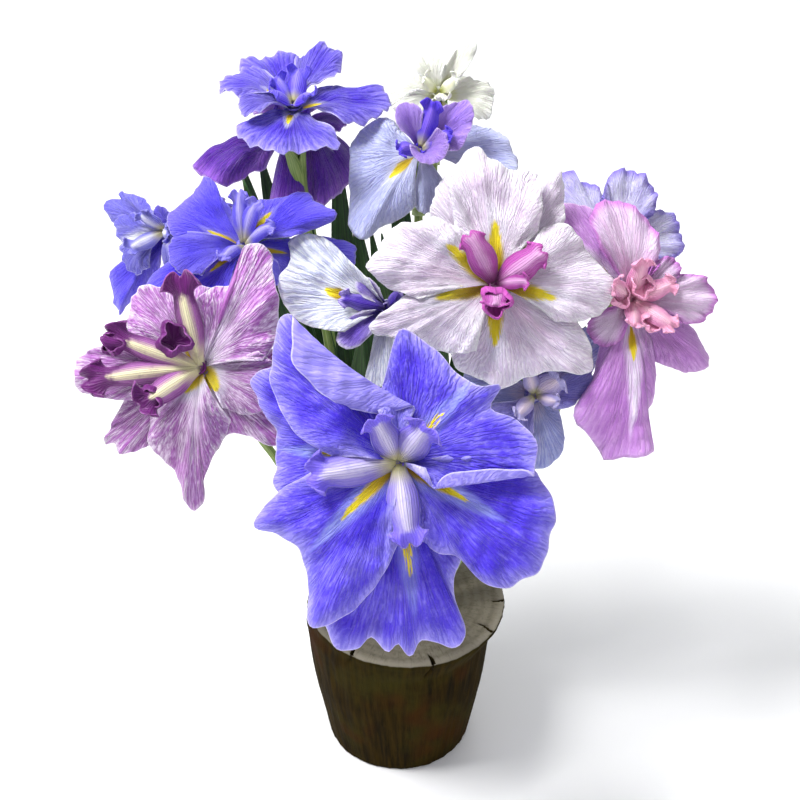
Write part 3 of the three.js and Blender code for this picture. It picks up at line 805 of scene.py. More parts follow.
@dataclass(frozen=True)
class Petal:
    """A fall or standard.

    The rim runs counter-clockwise and gives the margin as angles in degrees, from the flower's right, and
    distances from its centre. The rise is the petal's height half way along it and at its margin. The
    midrib is the direction of its signal, the signal is how strong that is, and the shift is how much
    further out it lies. Sizes are in millimetres.
    """

    rim: tuple[tuple[float, float], ...]
    rise: tuple[float, float]
    cup: float = 3.0
    midrib: float | None = None
    ruffle: float = 3.0
    waves: float = 3.0
    pleat: float = 1.5
    frill: float = 0.8
    curl: float = 2.4
    signal: float = 1.0
    shift: float = 0.0
    fold: Fold | None = None

    def margin(self, u: Array) -> tuple[Array, Array]:
        """Follows the petal's margin.

        Args:
            u: the place across the petal.

        Returns:
            The margin's direction in radians and its distance from the centre.
        """
        corners = [(reach * math.cos(math.radians(angle)), reach * math.sin(math.radians(angle)), 0.0)
                   for angle, reach in self.rim]
        curve = smooth_path(corners, 12)
        steps = np.hypot(*np.diff(curve[:, :2], axis=0).T)
        lengths = np.concatenate([[0.0], np.cumsum(steps)])
        turn = np.unwrap(np.arctan2(curve[:, 1], curve[:, 0]))
        turn += 2 * math.pi * round((math.radians(self.rim[0][0]) - turn[0]) / (2 * math.pi))
        place = (u + 1) / 2 * lengths[-1]
        distances = np.hypot(curve[:, 0], curve[:, 1])
        return np.interp(place, lengths, turn), np.interp(place, lengths, distances)

    def surface(self, level: float, seed: int, u: Array, v: Array) -> tuple[Surface, Array]:
        """The petal in its flower's frame, in millimetres.

        Args:
            level: the ring's height on the flower's axis.
            seed: the number that sets this petal's own waves.
            u: the place across the petal.
            v: the place along it.

        Returns:
            The x, y and z of each point, and its span: the distance from the midrib, from the
            flower's centre and from the nearest edge.
        """
        draw = np.random.RandomState(seed).uniform(0, 2 * math.pi, 6)
        first, last = math.radians(self.rim[0][0]), math.radians(self.rim[-1][0])
        middle, fan = (first + last) / 2, (last - first) / 2
        size = max(reach for _, reach in self.rim) / LARGE_PETAL
        bearing, reach = self.margin(u)
        reach = reach * (1 + 0.009 * np.sin(19 * u + draw[0]) + 0.006 * np.sin(37 * u + draw[1]))
        distance = CLAW_START + v * (reach - CLAW_START)
        turn = middle + (bearing - middle) * (WAIST + (1 - WAIST) * v)
        x, y = distance * np.cos(turn), distance * np.sin(turn)
        claw = CLAW_MARGIN * (1 - ease(v, 0.1, 0.4))
        hem = np.minimum((1 - v) * reach, (1 - np.abs(u)) * fan * distance + claw)
        half, tip = self.rise
        z = level + v * (4 * half - tip) + v * v * (2 * tip - 4 * half) + self.cup * v * u * u
        z = z + self.ruffle * size * np.sin(self.waves * math.pi * u + draw[2]) * v ** 2.5
        bent = u + 0.12 * np.sin(4 * u + draw[3])
        room = fan * distance
        soft = np.minimum(size, room / 48)
        z = z + self.pleat * soft * np.cos(7 * math.pi * bent * (1 - 0.2 * v) + draw[4]) * v * (1.4 - v)
        z = z + size * ease(v, 0.1, 0.5) * (2.0 * rumple(x, y, seed, 42) + 0.7 * rumple(x, y, seed + 1, 14))
        near = np.clip(1 - hem / 10, 0.0, 1.0) * ease(v, 0.3, 0.6)
        frill = self.frill * np.minimum(1.0, room / 24)
        z = z + (frill * np.sin(9 * math.pi * u + 5 * v + draw[5]) - self.curl * size * near) * near
        rib = math.radians(math.degrees(middle) if self.midrib is None else self.midrib)
        side = (turn - rib) * distance
        z = z - 1.1 * np.exp(-((side / 2.2) ** 2)) * (1 - v ** 2)
        if self.fold:
            x, y, z = self.fold.roll(x, y, z)
        return (x, y, z), np.stack([side, distance - self.shift, hem], axis=1)


@dataclass(frozen=True)
class StyleArm:
    """A style branch: a narrow half tube that arches over a petal and ends in a ruffled crest.

    The signal is how much of the crest's colour covers the whole arm.
    """

    at: float
    reach: float
    rise: tuple[float, float]
    width: float = 5.0
    crest: float = 4.0
    droop: float = 0.85
    flare: float = 0.5
    signal: float = 0.0

    def surface(self, level: float, seed: int, u: Array, v: Array) -> tuple[Surface, Array]:
        """The arm in its flower's frame, in millimetres.

        Args:
            level: the ring's height on the flower's axis.
            seed: the number that sets this sheet's own waves.
            u: the place across it.
            v: the place along it.

        Returns:
            The x, y and z of each point, and its span, as Petal.surface gives them.
        """
        draw = np.random.RandomState(seed).uniform(0, 2 * math.pi, 4)
        end = ease(v, 0.7, 1.0)
        notch = 1 - end * (0.10 * np.exp(-((u / 0.25) ** 2)) + 0.16 * u ** 4)
        distance = 1.2 + v * (self.reach * notch - 1.2)
        swell = 0.42 + 0.58 * ease(v, 0.0, 0.4) - 0.2 * ease(v, 0.5, 0.72)
        swell = swell + self.flare * ease(v, 0.72, 0.92)
        half_width = self.width * (swell - 0.3 * ease(v, 0.9, 1.0))
        across = u * half_width + 0.6 * np.sin(5 * v + draw[2]) * v
        half, tip = self.rise
        z = level + v * (4 * half - tip) + v * v * (2 * tip - 4 * half)
        z = z - self.droop * half_width * u * u * (1 - end) + 0.5 * np.exp(-((u / 0.25) ** 2))
        lobe = end * ease(np.abs(u), 0.05, 0.7)
        z = z + self.crest * lobe * (1 + 0.3 * np.sin(3 * u + draw[0]))
        z = z + 0.7 * np.sin(8 * u + 6 * v + draw[3]) * end
        back = distance - 0.5 * abs(self.crest) * lobe * ease(v, 0.8, 1.0)
        turn = math.radians(self.at)
        x = back * math.cos(turn) - across * math.sin(turn)
        y = back * math.sin(turn) + across * math.cos(turn)
        hem = np.minimum((1 - v) * self.reach, (1 - np.abs(u)) * half_width)
        return (x, y, z), np.stack([across, distance, hem], axis=1)


@dataclass(frozen=True)
class Knot:
    """A style crest that is curled into a ruffled cup, with the signal of a style arm."""

    at: float
    reach: float
    radius: float
    height: float
    signal: float = 1.0

    def surface(self, level: float, seed: int, u: Array, v: Array) -> tuple[Surface, Array]:
        """The crest's cup in its flower's frame, in millimetres.

        Args:
            level: the ring's height on the flower's axis.
            seed: the number that sets this sheet's own waves.
            u: the place across it.
            v: the place along it.

        Returns:
            The x, y and z of each point, and its span, as Petal.surface gives them.
        """
        draw = np.random.RandomState(seed).uniform(0, 2 * math.pi, 4)
        around, bend = math.pi * (u + 1), 2.3 * v
        frill = 0.20 * np.sin(3 * around + draw[0]) + 0.16 * np.sin(5 * around + draw[1])
        radius = self.radius * np.sin(bend) * (1 + frill * v)
        lift = 0.62 * (1 - np.cos(bend)) + 0.22 * v ** 2 * np.sin(4 * around + draw[2])
        lean = 0.35 * self.radius * v ** 2 * np.array([[math.cos(draw[3])], [math.sin(draw[3])]])
        turn = math.radians(self.at)
        x = self.reach * math.cos(turn) + radius * np.cos(around) + lean[0]
        y = self.reach * math.sin(turn) + radius * np.sin(around) + lean[1]
        z = level + self.height - 0.6 * self.radius + self.radius * lift
        hem = (1 - v) * self.radius * 2
        return (x, y, z), np.stack([x, np.hypot(x, y), hem], axis=1)


class Ring(Enum):
    """A flower's three rings, each with its place on the axis in hub steps."""

    FALLS = -1
    STANDARDS = 0
    STYLES = 1


@dataclass(frozen=True)
class Flower:
    """One bloom with its stem."""

    name: str
    centre: tuple[float, float, float]
    facing: tuple[float, float]
    slot: float
    lean: tuple[float, float, float]
    falls: tuple[Petal, ...]
    standards: tuple[Petal, ...]
    arms: tuple[StyleArm | Knot, ...]
    fall_finish: PetalFinish
    standard_finish: PetalFinish
    style_finish: StyleFinish
    detail: tuple[int, int] = PETAL_GRID

    def matrix(self) -> Array:
        """Turns the flower's facing into its axes.

        Returns:
            Its right, up and forward axes, as rows.
        """
        azimuth, elevation = (math.radians(angle) for angle in self.facing)
        level = math.cos(elevation)
        forward = np.array([math.sin(azimuth) * level, -math.cos(azimuth) * level, math.sin(elevation)])
        right = np.array([math.cos(azimuth), math.sin(azimuth), 0.0])
        return np.stack([right, np.cross(forward, right), forward])

    def to_row(self, surface: Surface) -> Array:
        """Points of the flower's frame, in the object's frame and metres."""
        return (np.stack(surface, axis=1) @ self.matrix() + np.array(self.centre)) * MM

    def on_axis(self, distance: float) -> tuple[float, float, float]:
        """The point that lies a distance behind the flower on its axis."""
        return tuple(np.array(self.centre) - self.matrix()[2] * distance)

    def ring(self, kind: Ring) -> bpy.types.Object:
        """Builds one ring of petals or style arms.

        Args:
            kind: which ring.

        Returns:
            The ring's object.
        """
        name = f"{self.name}_{kind.name.lower()}"
        level = kind.value * HUB_STEP
        sheets = Sheets(f"{name}_bloom")
        shapes = {Ring.FALLS: self.falls, Ring.STANDARDS: self.standards, Ring.STYLES: self.arms}[kind]
        columns, rows = ARM_GRID if kind is Ring.STYLES else self.detail
        for i, shape in enumerate(shapes):
            seed = sum(map(ord, name)) * 7 + i

            def bend(u: Array, v: Array, shape: Petal | StyleArm | Knot = shape,
                     seed: int = seed) -> tuple[Array, Array]:
                """Places the sheet in the object's frame."""
                surface, span = shape.surface(level, seed, u, v)
                return self.to_row(surface), span

            sheets.add(columns, rows, bend, shape.signal, isinstance(shape, Knot))
        self.hub(sheets, level, kind)
        if kind is Ring.STYLES:
            piece = sheets.finish([self.style_finish.dress(f"{name}_skin")], ARM_SHEET)
        else:
            finish = self.fall_finish if kind is Ring.FALLS else self.standard_finish
            piece = sheets.finish([finish.face(f"{name}_face"), finish.back(f"{name}_back")], PETAL_SHEET)
        return keep(piece, name)

    def hub(self, sheets: Sheets, level: float, kind: Ring) -> None:
        """Adds the ring's part of the flower's tube, a small cup round the axis.

        Args:
            sheets: the ring's sheets.
            level: the ring's height on the flower's axis.
            kind: which ring.
        """
        radius = {Ring.FALLS: 5.6, Ring.STANDARDS: 4.8, Ring.STYLES: 3.4}[kind]

        def bend(u: Array, v: Array) -> tuple[Array, Array]:
            """A cup that widens forward.

            Args:
                u: the place across, from -1 to 1.
                v: the place along, from 0 to 1.

            Returns:
                The points in metres and their span.
            """
            turn = math.pi * (u + 1)
            reach = radius * v
            z = level - 1.6 + 2.2 * v ** 3
            far = np.full_like(u, 9.0)
            span = np.stack([far, reach, far], axis=1)
            return self.to_row((reach * np.cos(turn), reach * np.sin(turn), z)), span

        sheets.add(*HUB_GRID, bend, close=True)

    def stem(self, finish: bpy.types.Material) -> bpy.types.Object:
        """Builds the stem, the swollen ovary below the flower and the two sheaths round it.

        Args:
            finish: the green material.

        Returns:
            The stem's object.
        """
        name = f"{self.name}_stem"
        path = Path([
            ring_point(self.slot, STEM_RING, STEM_FOOT), ring_point(self.slot, STEM_RING, LOG_HEIGHT * 0.6),
            ring_point(self.slot, STEM_RING, LOG_HEIGHT), self.lean, self.on_axis(OVARY_LENGTH * 1.6),
            self.on_axis(OVARY_LENGTH * 0.7), self.on_axis(HUB_STEP * 1.7),
        ])
        sheets = Sheets(f"{name}_green")

        def tube(u: Array, v: Array) -> tuple[Array, Array]:
            """The stem, with the ovary near its top and its ends drawn in.

            Args:
                u: the place across, from -1 to 1.
                v: the place along, from 0 to 1.

            Returns:
                The points in metres and their span.
            """
            distance = v * path.length
            left = path.length - distance
            ribs = 1 + 0.05 * np.cos(6 * math.pi * u)
            swell = 1.25 * ease(left, 26.0, 17.0) * ease(left, 1.0, 8.0) * ribs
            radius = STEM_RADIUS * (1 - 0.2 * v) + swell + 0.12 * np.sin(distance * 0.35)
            radius = radius * np.sqrt(np.clip(np.minimum(v, 1 - v) * 90, 0.0, 1.0))
            return path.around(distance, math.pi * (u + 1), radius) * MM, np.zeros((len(u), 3))

        sheets.add(*STEM_GRID, tube, close=True)
        piece = sheets.finish([finish])
        for turn, length in SHEATHS:
            self.sheath(piece, path, turn, length)
        return keep(piece, name)

    def sheath(self, piece: bpy.types.Object, path: Path, turn: float, length: float) -> None:
        """Adds one papery green sheath round the ovary to the stem's mesh.

        Args:
            piece: the stem's object.
            path: the stem's path.
            turn: the sheath's direction round the stem, in radians.
            length: its length in millimetres.
        """
        sheets = Sheets("sheath")
        foot = path.length - SHEATH_FOOT

        def bend(u: Array, v: Array) -> tuple[Array, Array]:
            """A pointed half tube that opens towards its tip.

            Args:
                u: the place across, from -1 to 1.
                v: the place along, from 0 to 1.

            Returns:
                The points in metres and their span.
            """
            width = 1.9 * np.clip(1 - v ** 3, 0.02, 1.0)
            radius = STEM_RADIUS + 0.5 + 2.6 * ease(v, 0.1, 0.8) + 0.4 * np.abs(u)
            distance = foot + v * length
            return path.around(distance, turn + u * width, radius) * MM, np.zeros((len(u), 3))

        sheets.add(*SHEATH_GRID, bend)
        leaf = sheets.finish([])
        thick = leaf.modifiers.new("thickness", "SOLIDIFY")
        thick.thickness = SHEATH_SHEET * MM
        bake_into(leaf, piece)


def bake_into(extra: bpy.types.Object, piece: bpy.types.Object) -> None:
    """Adds an object's finished mesh to another's and removes the object.

    Args:
        extra: the object that is added.
        piece: the object that takes its mesh.
    """
    bpy.context.view_layer.update()
    done = extra.evaluated_get(bpy.context.evaluated_depsgraph_get()).to_mesh()
    whole = bmesh.new()
    whole.from_mesh(piece.data)
    whole.from_mesh(done)
    whole.to_mesh(piece.data)
    whole.free()
    bpy.data.objects.remove(extra)


def keep(piece: bpy.types.Object, node: str) -> bpy.types.Object:
    """Puts a finished piece on the body in place of its node.

    Args:
        piece: the new piece.
        node: the node that it stands for.

    Returns:
        The piece.
    """
    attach(piece, "root")
    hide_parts(node)
    log.info("%s: %d faces", piece.name, len(piece.data.polygons))
    return piece


# ---------------------------------------------------------------- leaves, log and cup


@dataclass(frozen=True)
class LeafFan:
    """Two or three sword leaves from one sheath.

    Each blade is a point that it passes, its tip and its half width.
    """

    name: str
    slot: float
    blades: tuple[tuple[tuple[float, float, float], tuple[float, float, float], float], ...]

    def build(self, finish: bpy.types.Material) -> bpy.types.Object:
        """Builds the fan's blades as one piece.

        Args:
            finish: the green material.

        Returns:
            The fan's object.
        """
        sheets = Sheets(f"{self.name}_blades")
        side = np.array(ring_point(self.slot + 90, 1.0, 0.0))
        front = np.array([math.copysign(1.0, side[0]), 0.0, 0.0])
        for i, (middle, tip, half_width) in enumerate(self.blades):
            foot = ring_point(self.slot, LEAF_RING, STEM_FOOT)
            path = Path([foot, ring_point(self.slot, LEAF_RING, LOG_HEIGHT), middle, tip])

            def bend(u: Array, v: Array, path: Path = path, half_width: float = half_width,
                     seed: int = i) -> tuple[Array, Array]:
                """A blade with a shallow keel that turns to the front and narrows to its tip.

                Args:
                    u: the place across, from -1 to 1.
                    v: the place along, from 0 to 1.
                    path: the blade's path.
                    half_width: half its width in millimetres.
                    seed: the number that sets its waves.

                Returns:
                    The points in metres and their span.
                """
                centre = path.sample(path.points, v * path.length)
                tangent = path.sample(path.tangents, v * path.length)
                twist = ease(v, 0.3, 0.75)[:, None]
                across = side * (1 - twist) + front * twist
                across = across / np.linalg.norm(across, axis=1)[:, None]
                narrow = np.minimum(1.0, 0.35 + 1.1 * v) * (1 - 0.97 * v ** 6) * half_width * 0.85
                out = np.cross(tangent, across)
                out = out / np.linalg.norm(out, axis=1)[:, None]
                keel = 0.28 * np.abs(u) + 0.10 * np.sin(7 * v + seed) * u
                lift = narrow * keel + 0.12 * np.cos(9 * math.pi * u)
                points = centre + (u * narrow)[:, None] * across + lift[:, None] * out
                return points * MM, np.zeros((len(u), 3))

            sheets.add(*LEAF_GRID, bend)
        return keep(sheets.finish([finish], LEAF_SHEET), self.name)


@dataclass(frozen=True)
class Crack:
    """A drying crack in the log's top, which may run down its side."""

    angle: float
    inner: float
    width: float
    depth: float = 7.0
    foot: float = 96.0


@dataclass(frozen=True)
class LogVase:
    """A hollowed length of log, slightly tapered, with a sawn top."""

    cracks: tuple[Crack, ...] = (
        Crack(-3, 52, 1.1), Crack(-30, 48, 1.0, foot=98), Crack(-76, 50, 1.1, foot=88),
        Crack(72, 30, 1.6, foot=92), Crack(133, 40, 1.2), Crack(188, 33, 1.4, foot=94),
        Crack(236, 45, 1.1), Crack(24, 52, 1.0),
    )
    stretches: tuple[tuple[float, float, int], ...] = (
        (LOG_FOOT_RADIUS - 1, 0.0, 3), (LOG_FOOT_RADIUS, 1.0, 1), (LOG_BELLY_RADIUS, LOG_HEIGHT / 2, 24),
        (LOG_SHOULDER_RADIUS, LOG_SHOULDER, 16), (LOG_TOP_RADIUS, LOG_HEIGHT - LOG_RIM_ROUND, 8),
        (LOG_TOP_RADIUS - 0.6, LOG_HEIGHT - 0.7, 2), (LOG_TOP_RADIUS - LOG_RIM_ROUND, LOG_HEIGHT, 2),
        (HOLE_RADIUS + 0.8, LOG_HEIGHT, 26),
        (HOLE_RADIUS, LOG_HEIGHT - 0.8, 1), (HOLE_RADIUS, HOLE_FLOOR, 8), (0.0, HOLE_FLOOR, 2),
    )

    def profile(self) -> Array:
        """Follows the log's profile from its foot's centre to the hole's.

        Returns:
            The radius and height of each point, one row each.
        """
        rows = [np.zeros((1, 2))]
        last = np.zeros(2)
        for radius, z, count in self.stretches:
            here = np.array([radius, z])
            share = np.arange(1, count + 1)[:, None] / count
            rows.append(last + (here - last) * share)
            last = here
        return np.vstack(rows)

    def crack_depth(self, angle: Array, radius: Array, z: Array) -> tuple[Array, Array]:
        """Measures how deep the cracks cut at each point.

        Args:
            angle: the points' directions in radians.
            radius: their distances from the axis.
            z: their heights.

        Returns:
            The depth in millimetres, and as a share of a crack's whole depth.
        """
        depth, share = np.zeros_like(angle), np.zeros_like(angle)
        for crack in self.cracks:
            sway = 0.02 * np.sin(radius * 0.35 + crack.angle)
            wander = math.radians(crack.angle) + sway + 0.012 * np.sin(z * 0.3)
            off = np.abs((angle - wander + math.pi) % (2 * math.pi) - math.pi) * radius
            on_top = ease(radius, crack.inner, crack.inner + 8) * (z > LOG_HEIGHT - 3)
            outside = (z <= LOG_HEIGHT - 3) * (radius > HOLE_RADIUS + 2)
            on_side = ease(z, crack.foot, crack.foot + 14) * outside
            here = np.clip(1.25 - off / crack.width, 0.0, 1.0) * np.maximum(on_top, on_side)
            share = np.maximum(share, here)
            depth = np.maximum(depth, here * crack.depth * ease(radius, crack.inner, LOG_TOP_RADIUS))
        return depth, share

    def build(self) -> bpy.types.Object:
        """Builds the log with its furrowed side and cracked top.

        Returns:
            The log's object.
        """
        table = self.profile()
        sheets = Sheets("log_wood")
        layer = sheets.mesh.verts.layers.float_vector.new("crack")

        def bend(u: Array, v: Array) -> tuple[Array, Array]:
            """Turns the profile round the axis and roughens it.

            Args:
                u: the place across, from -1 to 1.
                v: the place along, from 0 to 1.

            Returns:
                The points in metres and their span.
            """
            row = np.rint(v * (len(table) - 1)).astype(int)
            radius, z = table[row, 0], table[row, 1]
            angle = math.pi * (u + 1)
            x, y = np.cos(angle), np.sin(angle)
            seat = np.stack([x, y], axis=1)
            outer = ease(radius, HOLE_RADIUS + 4, LOG_FOOT_RADIUS - 4) * (z > 0.5)
            wobble = np.array([noise.noise(Vector((*point * 1.4, 3.0))) for point in seat])
            folds = [Vector((point[0] * 9, point[1] * 9, height * 0.022)) for point, height in zip(seat, z)]
            furrow = np.array([noise.fractal(fold, 0.9, 2.1, 4) for fold in folds])
            skin = outer * (z < LOG_HEIGHT - 0.5)
            depth, share = self.crack_depth(angle, radius, z)
            side = depth * (z <= LOG_HEIGHT - 3)
            reach = radius * (1 + 0.014 * wobble * outer) + 0.6 * (furrow - 0.2) * skin - side * 0.5
            saw = 0.18 * np.sin((radius * x + radius * y * 0.3) * 1.1) + 0.25 * furrow
            top = (z > LOG_HEIGHT - 0.5) * (radius > HOLE_RADIUS + 0.5)
            level = z - depth * top + saw * top
            below = 1 - ease(z, LOG_SHOULDER, LOG_HEIGHT - LOG_RIM_ROUND)
            offset = LOG_OFFSET * below * (radius > HOLE_RADIUS)
            points = np.stack([reach * x + offset, reach * y, level], axis=1)
            return points * MM, np.stack([share, z, radius], axis=1)

        sheets.add(LOG_COLUMNS, len(table) - 1, bend, close=True)
        for vert in sheets.mesh.verts:
            vert[layer] = vert[sheets.span]
        return keep(sheets.finish([LogFinish().dress("log_wood_skin")]), "log_vase")


@dataclass(frozen=True)
class WaterCup:
    """The galvanised cup that stands in the log's hole, with a rolled rim."""

    bead: float = 0.9
    middle: float = 60.0

    def build(self) -> bpy.types.Object:
        """Builds the cup as one closed wall.

        Returns:
            The cup's object.
        """
        outer, floor = HOLE_RADIUS - CUP_GAP, HOLE_FLOOR + CUP_GAP
        inner = outer - CUP_WALL
        bead = [(outer - self.bead * (1 - math.cos(t)) * 0.7, CUP_RIM - self.bead * (1 - math.sin(t)))
                for t in np.linspace(0, math.pi, 9)]
        table = np.array([
            (0, floor), (outer / 2, floor), (outer - 1, floor), (outer, floor + 1), (outer, self.middle),
            *bead, (inner, self.middle),
            (inner, floor + CUP_WALL), (inner / 2, floor + CUP_WALL), (0, floor + CUP_WALL),
        ])
        sheets = Sheets("cup_metal")

        def bend(u: Array, v: Array) -> tuple[Array, Array]:
            """Turns the cup's wall round the axis.

            Args:
                u: the place across, from -1 to 1.
                v: the place along, from 0 to 1.

            Returns:
                The points in metres and their span.
            """
            row = np.rint(v * (len(table) - 1)).astype(int)
            radius, angle = table[row, 0], math.pi * (u + 1)
            points = np.stack([radius * np.cos(angle), radius * np.sin(angle), table[row, 1]], axis=1)
            return points * MM, np.zeros((len(u), 3))

        sheets.add(CUP_COLUMNS, len(table) - 1, bend, close=True)
        return keep(sheets.finish([CupFinish().dress("cup_metal_skin")]), "water_cup")


# ---------------------------------------------------------------- the bouquet's finishes

BLUE = PetalFinish(rgb("#523ae0"), rgb("#3017c0"), rgb("#a8a0f3"), rgb("#3218bc"), rgb("#c6bef2"),
                   rgb("#988ee2"),
                   Signal(6, 44, 5.0, halo=rgb("#a4b0f6"), halo_amount=0.8, halo_length=1.7),
                   heart_end=0.7, veins=0.6, vein_count=15, margin_width=15, blotch=0.55)
BLUE_STYLE = StyleFinish(rgb("#c8c0de"), rgb("#8a7cca"), rgb("#5c48c4"), rgb("#7562de"), crest_start=0.76)
PINK_WHITE = PetalFinish(rgb("#e8deed"), rgb("#dcbcd8"), rgb("#f1ecf4"), rgb("#b59ac2"), rgb("#fbf9fb"),
                         rgb("#efe9f2"), Signal(5, 36, 7.5), heart_end=0.6, veins=0.55, vein_count=16,
                         blotch=0.4)
PINK_STYLE = StyleFinish(rgb("#cf9cc9"), rgb("#ad4ea4"), rgb("#8c2a80"), rgb("#b650a8"), rgb("#7a3a6c"),
                         0.9)
MOTTLED = PetalFinish(rgb("#ba5fc6"), rgb("#eee3f7"), rgb("#9c36aa"), rgb("#7a1f86"), rgb("#f2e6f6"),
                      rgb("#b878c0"), Signal(3, 17, 10.0), heart_end=0.75, streaks=0.85, veins=0.75,
                      vein_count=13, blotch=0.6)
MOTTLED_STYLE = StyleFinish(rgb("#ece4bc"), rgb("#a060a4"), rgb("#5a1560"), rgb("#641c6a"),
                            rgb("#e6dfae"), 0.66)
DEEP_BLUE = PetalFinish(rgb("#4d3be0"), rgb("#3422c2"), rgb("#7a6eea"), rgb("#3324c6"), rgb("#aaa3f0"),
                        rgb("#8a80e6"), Signal(8, 25, 2.6, halo=rgb("#a9a2f0")), veins=0.4)
DEEP_BLUE_STYLE = StyleFinish(rgb("#aaa2e8"), rgb("#6a5ee0"), rgb("#5144d4"), rgb("#8f86e6"))
MAUVE = PetalFinish(rgb("#c68fd4"), rgb("#b070c4"), rgb("#d3a8e0"), rgb("#9a54b4"), rgb("#e6ccf0"),
                    rgb("#cc9ed8"),
                    Signal(20, 36, 3.6, halo=rgb("#efe4f6"), halo_amount=0.9, halo_length=4.0), veins=0.5,
                    blotch=0.6)
FRILLED_PINK = PetalFinish(rgb("#ead8ee"), rgb("#dfa6d0"), rgb("#e3c6ea"), rgb("#c995d2"), rgb("#b746c0"),
                           rgb("#e6c8e6"), hem_width=3.4, veins=0.35)
PINK_CREST = StyleFinish(rgb("#efbccf"), rgb("#e3a0c4"), rgb("#cf7cb0"), rgb("#e6a3c0"), rgb("#e0a4b8"))
SLATE = PetalFinish(rgb("#a9b0d4"), rgb("#cdbfd0"), rgb("#949cd0"), rgb("#5a61b4"), rgb("#b4badc"),
                    rgb("#a9afd6"), Signal(9, 18, 2.2, rgb("#d9c58c"), halo=rgb("#dccfd6")), veins=0.6,
                    vein_count=8)
SLATE_BLUE = PetalFinish(rgb("#7f79cc"), rgb("#9b8fc8"), rgb("#9792d4"), rgb("#5049ae"), rgb("#b4aede"),
                         rgb("#9a94d2"), veins=0.5, vein_count=8)
SLATE_STYLE = StyleFinish(rgb("#dccbd6"), rgb("#b7abd0"), rgb("#8a80c4"), rgb("#a9a3d0"))
VEINED_WHITE = PetalFinish(rgb("#e2e5f0"), rgb("#f2f3f8"), rgb("#eceef6"), rgb("#7d85be"), rgb("#fcfcfe"),
                           rgb("#dfe2ec"), Signal(27, 38, 5.2, halo=rgb("#fbfbff")), veins=0.6,
                           vein_count=8, vein_sharpness=11, blotch=0.15)
INDIGO = PetalFinish(rgb("#7450cc"), rgb("#341a80"), rgb("#b7a4ea"), rgb("#452898"), rgb("#f0ebfa"),
                     rgb("#9a86da"), heart_end=0.7, margin_width=11, hem_width=1.7, veins=0.5)
INDIGO_STYLE = StyleFinish(rgb("#4a2aa8"), rgb("#351b90"), rgb("#8f78d6"), rgb("#b9a9ea"), rgb("#2a1060"),
                           0.84)
PALE_LAVENDER = PetalFinish(rgb("#b4b9e0"), rgb("#ced2ec"), rgb("#c6cbec"), rgb("#7a80c8"),
                            rgb("#dcdff4"), rgb("#ccd0ea"), Signal(11, 25, 4.4), veins=0.5, vein_count=12,
                            blotch=0.3)
LILAC = PetalFinish(rgb("#a07ae6"), rgb("#6a4ad0"), rgb("#b596ea"), rgb("#7c58cc"), rgb("#cdb6f0"),
                    rgb("#a886e0"), heart_end=0.5, veins=0.35)
LILAC_STYLE = StyleFinish(rgb("#8365e0"), rgb("#5a40d2"), rgb("#6f55dc"), rgb("#5138cc"))
VIOLET = PetalFinish(rgb("#4826cc"), rgb("#2a0898"), rgb("#a297f2"), rgb("#280ca4"), rgb("#c2bbf6"),
                     rgb("#8a7aea"), Signal(7, 17, 3.0), margin_width=19, heart_end=0.8, veins=0.8,
                     vein_count=7, vein_sharpness=4, blotch=0.5)
VIOLET_STYLE = StyleFinish(rgb("#8a7cea"), rgb("#5f49dc"), rgb("#4126c4"), rgb("#6f60e6"))
PURPLE = PetalFinish(rgb("#58149e"), rgb("#280560"), rgb("#a066d8"), rgb("#300a74"), rgb("#cdb0ee"),
                     rgb("#8448c4"), Signal(10, 20, 1.6), margin_width=8, heart_end=0.95, veins=0.65)
PURPLE_STYLE = StyleFinish(rgb("#7a50c8"), rgb("#5c2cb4"), rgb("#8f6ad4"), rgb("#5c2cb4"))
IVORY = PetalFinish(rgb("#f6f6ea"), rgb("#dfe498"), rgb("#fafaf4"), rgb("#dcddc0"), rgb("#ffffff"),
                    rgb("#f1f1e4"), Signal(3, 13, 3.6, rgb("#ccd030"), rgb("#98921c"), rgb("#ecefa8")),
                    veins=0.4, blotch=0.15)
IVORY_STYLE = StyleFinish(rgb("#f4f4d4"), rgb("#eef0c4"), rgb("#fbfbf0"), rgb("#fbfbf4"), rgb("#a9ae2c"))
RUFFLED = PetalFinish(rgb("#d3d2e8"), rgb("#dedee8"), rgb("#a59be0"), rgb("#8f86cc"), rgb("#6f5bd0"),
                      rgb("#b9b5e0"), hem_width=3.2, margin_width=12, veins=0.5, vein_count=14,
                      blotch=0.7)
RUFFLED_STYLE = StyleFinish(rgb("#e2dff2"), rgb("#a99ce2"), rgb("#7560d6"), rgb("#9184de"))
GREY_LILAC = PetalFinish(rgb("#7672ce"), rgb("#bcbae6"), rgb("#625cd0"), rgb("#4a44b4"), rgb("#a9a6e4"),
                         rgb("#a3a1da"),
                         Signal(12, 34, 3.4, rgb("#f2f2f8"), rgb("#e6e6f0"), rgb("#f0f0f6")), veins=0.5)
GREY_STYLE = StyleFinish(rgb("#d6d5ea"), rgb("#8a88d2"), rgb("#6663c4"), rgb("#7a77cc"))
LEAF = GreenFinish(rgb("#1b3713"), rgb("#3a6624"))
STEM = GreenFinish(rgb("#6d8a3a"), rgb("#a3b866"), ribs=9.0)

# ---------------------------------------------------------------- the bouquet's flowers

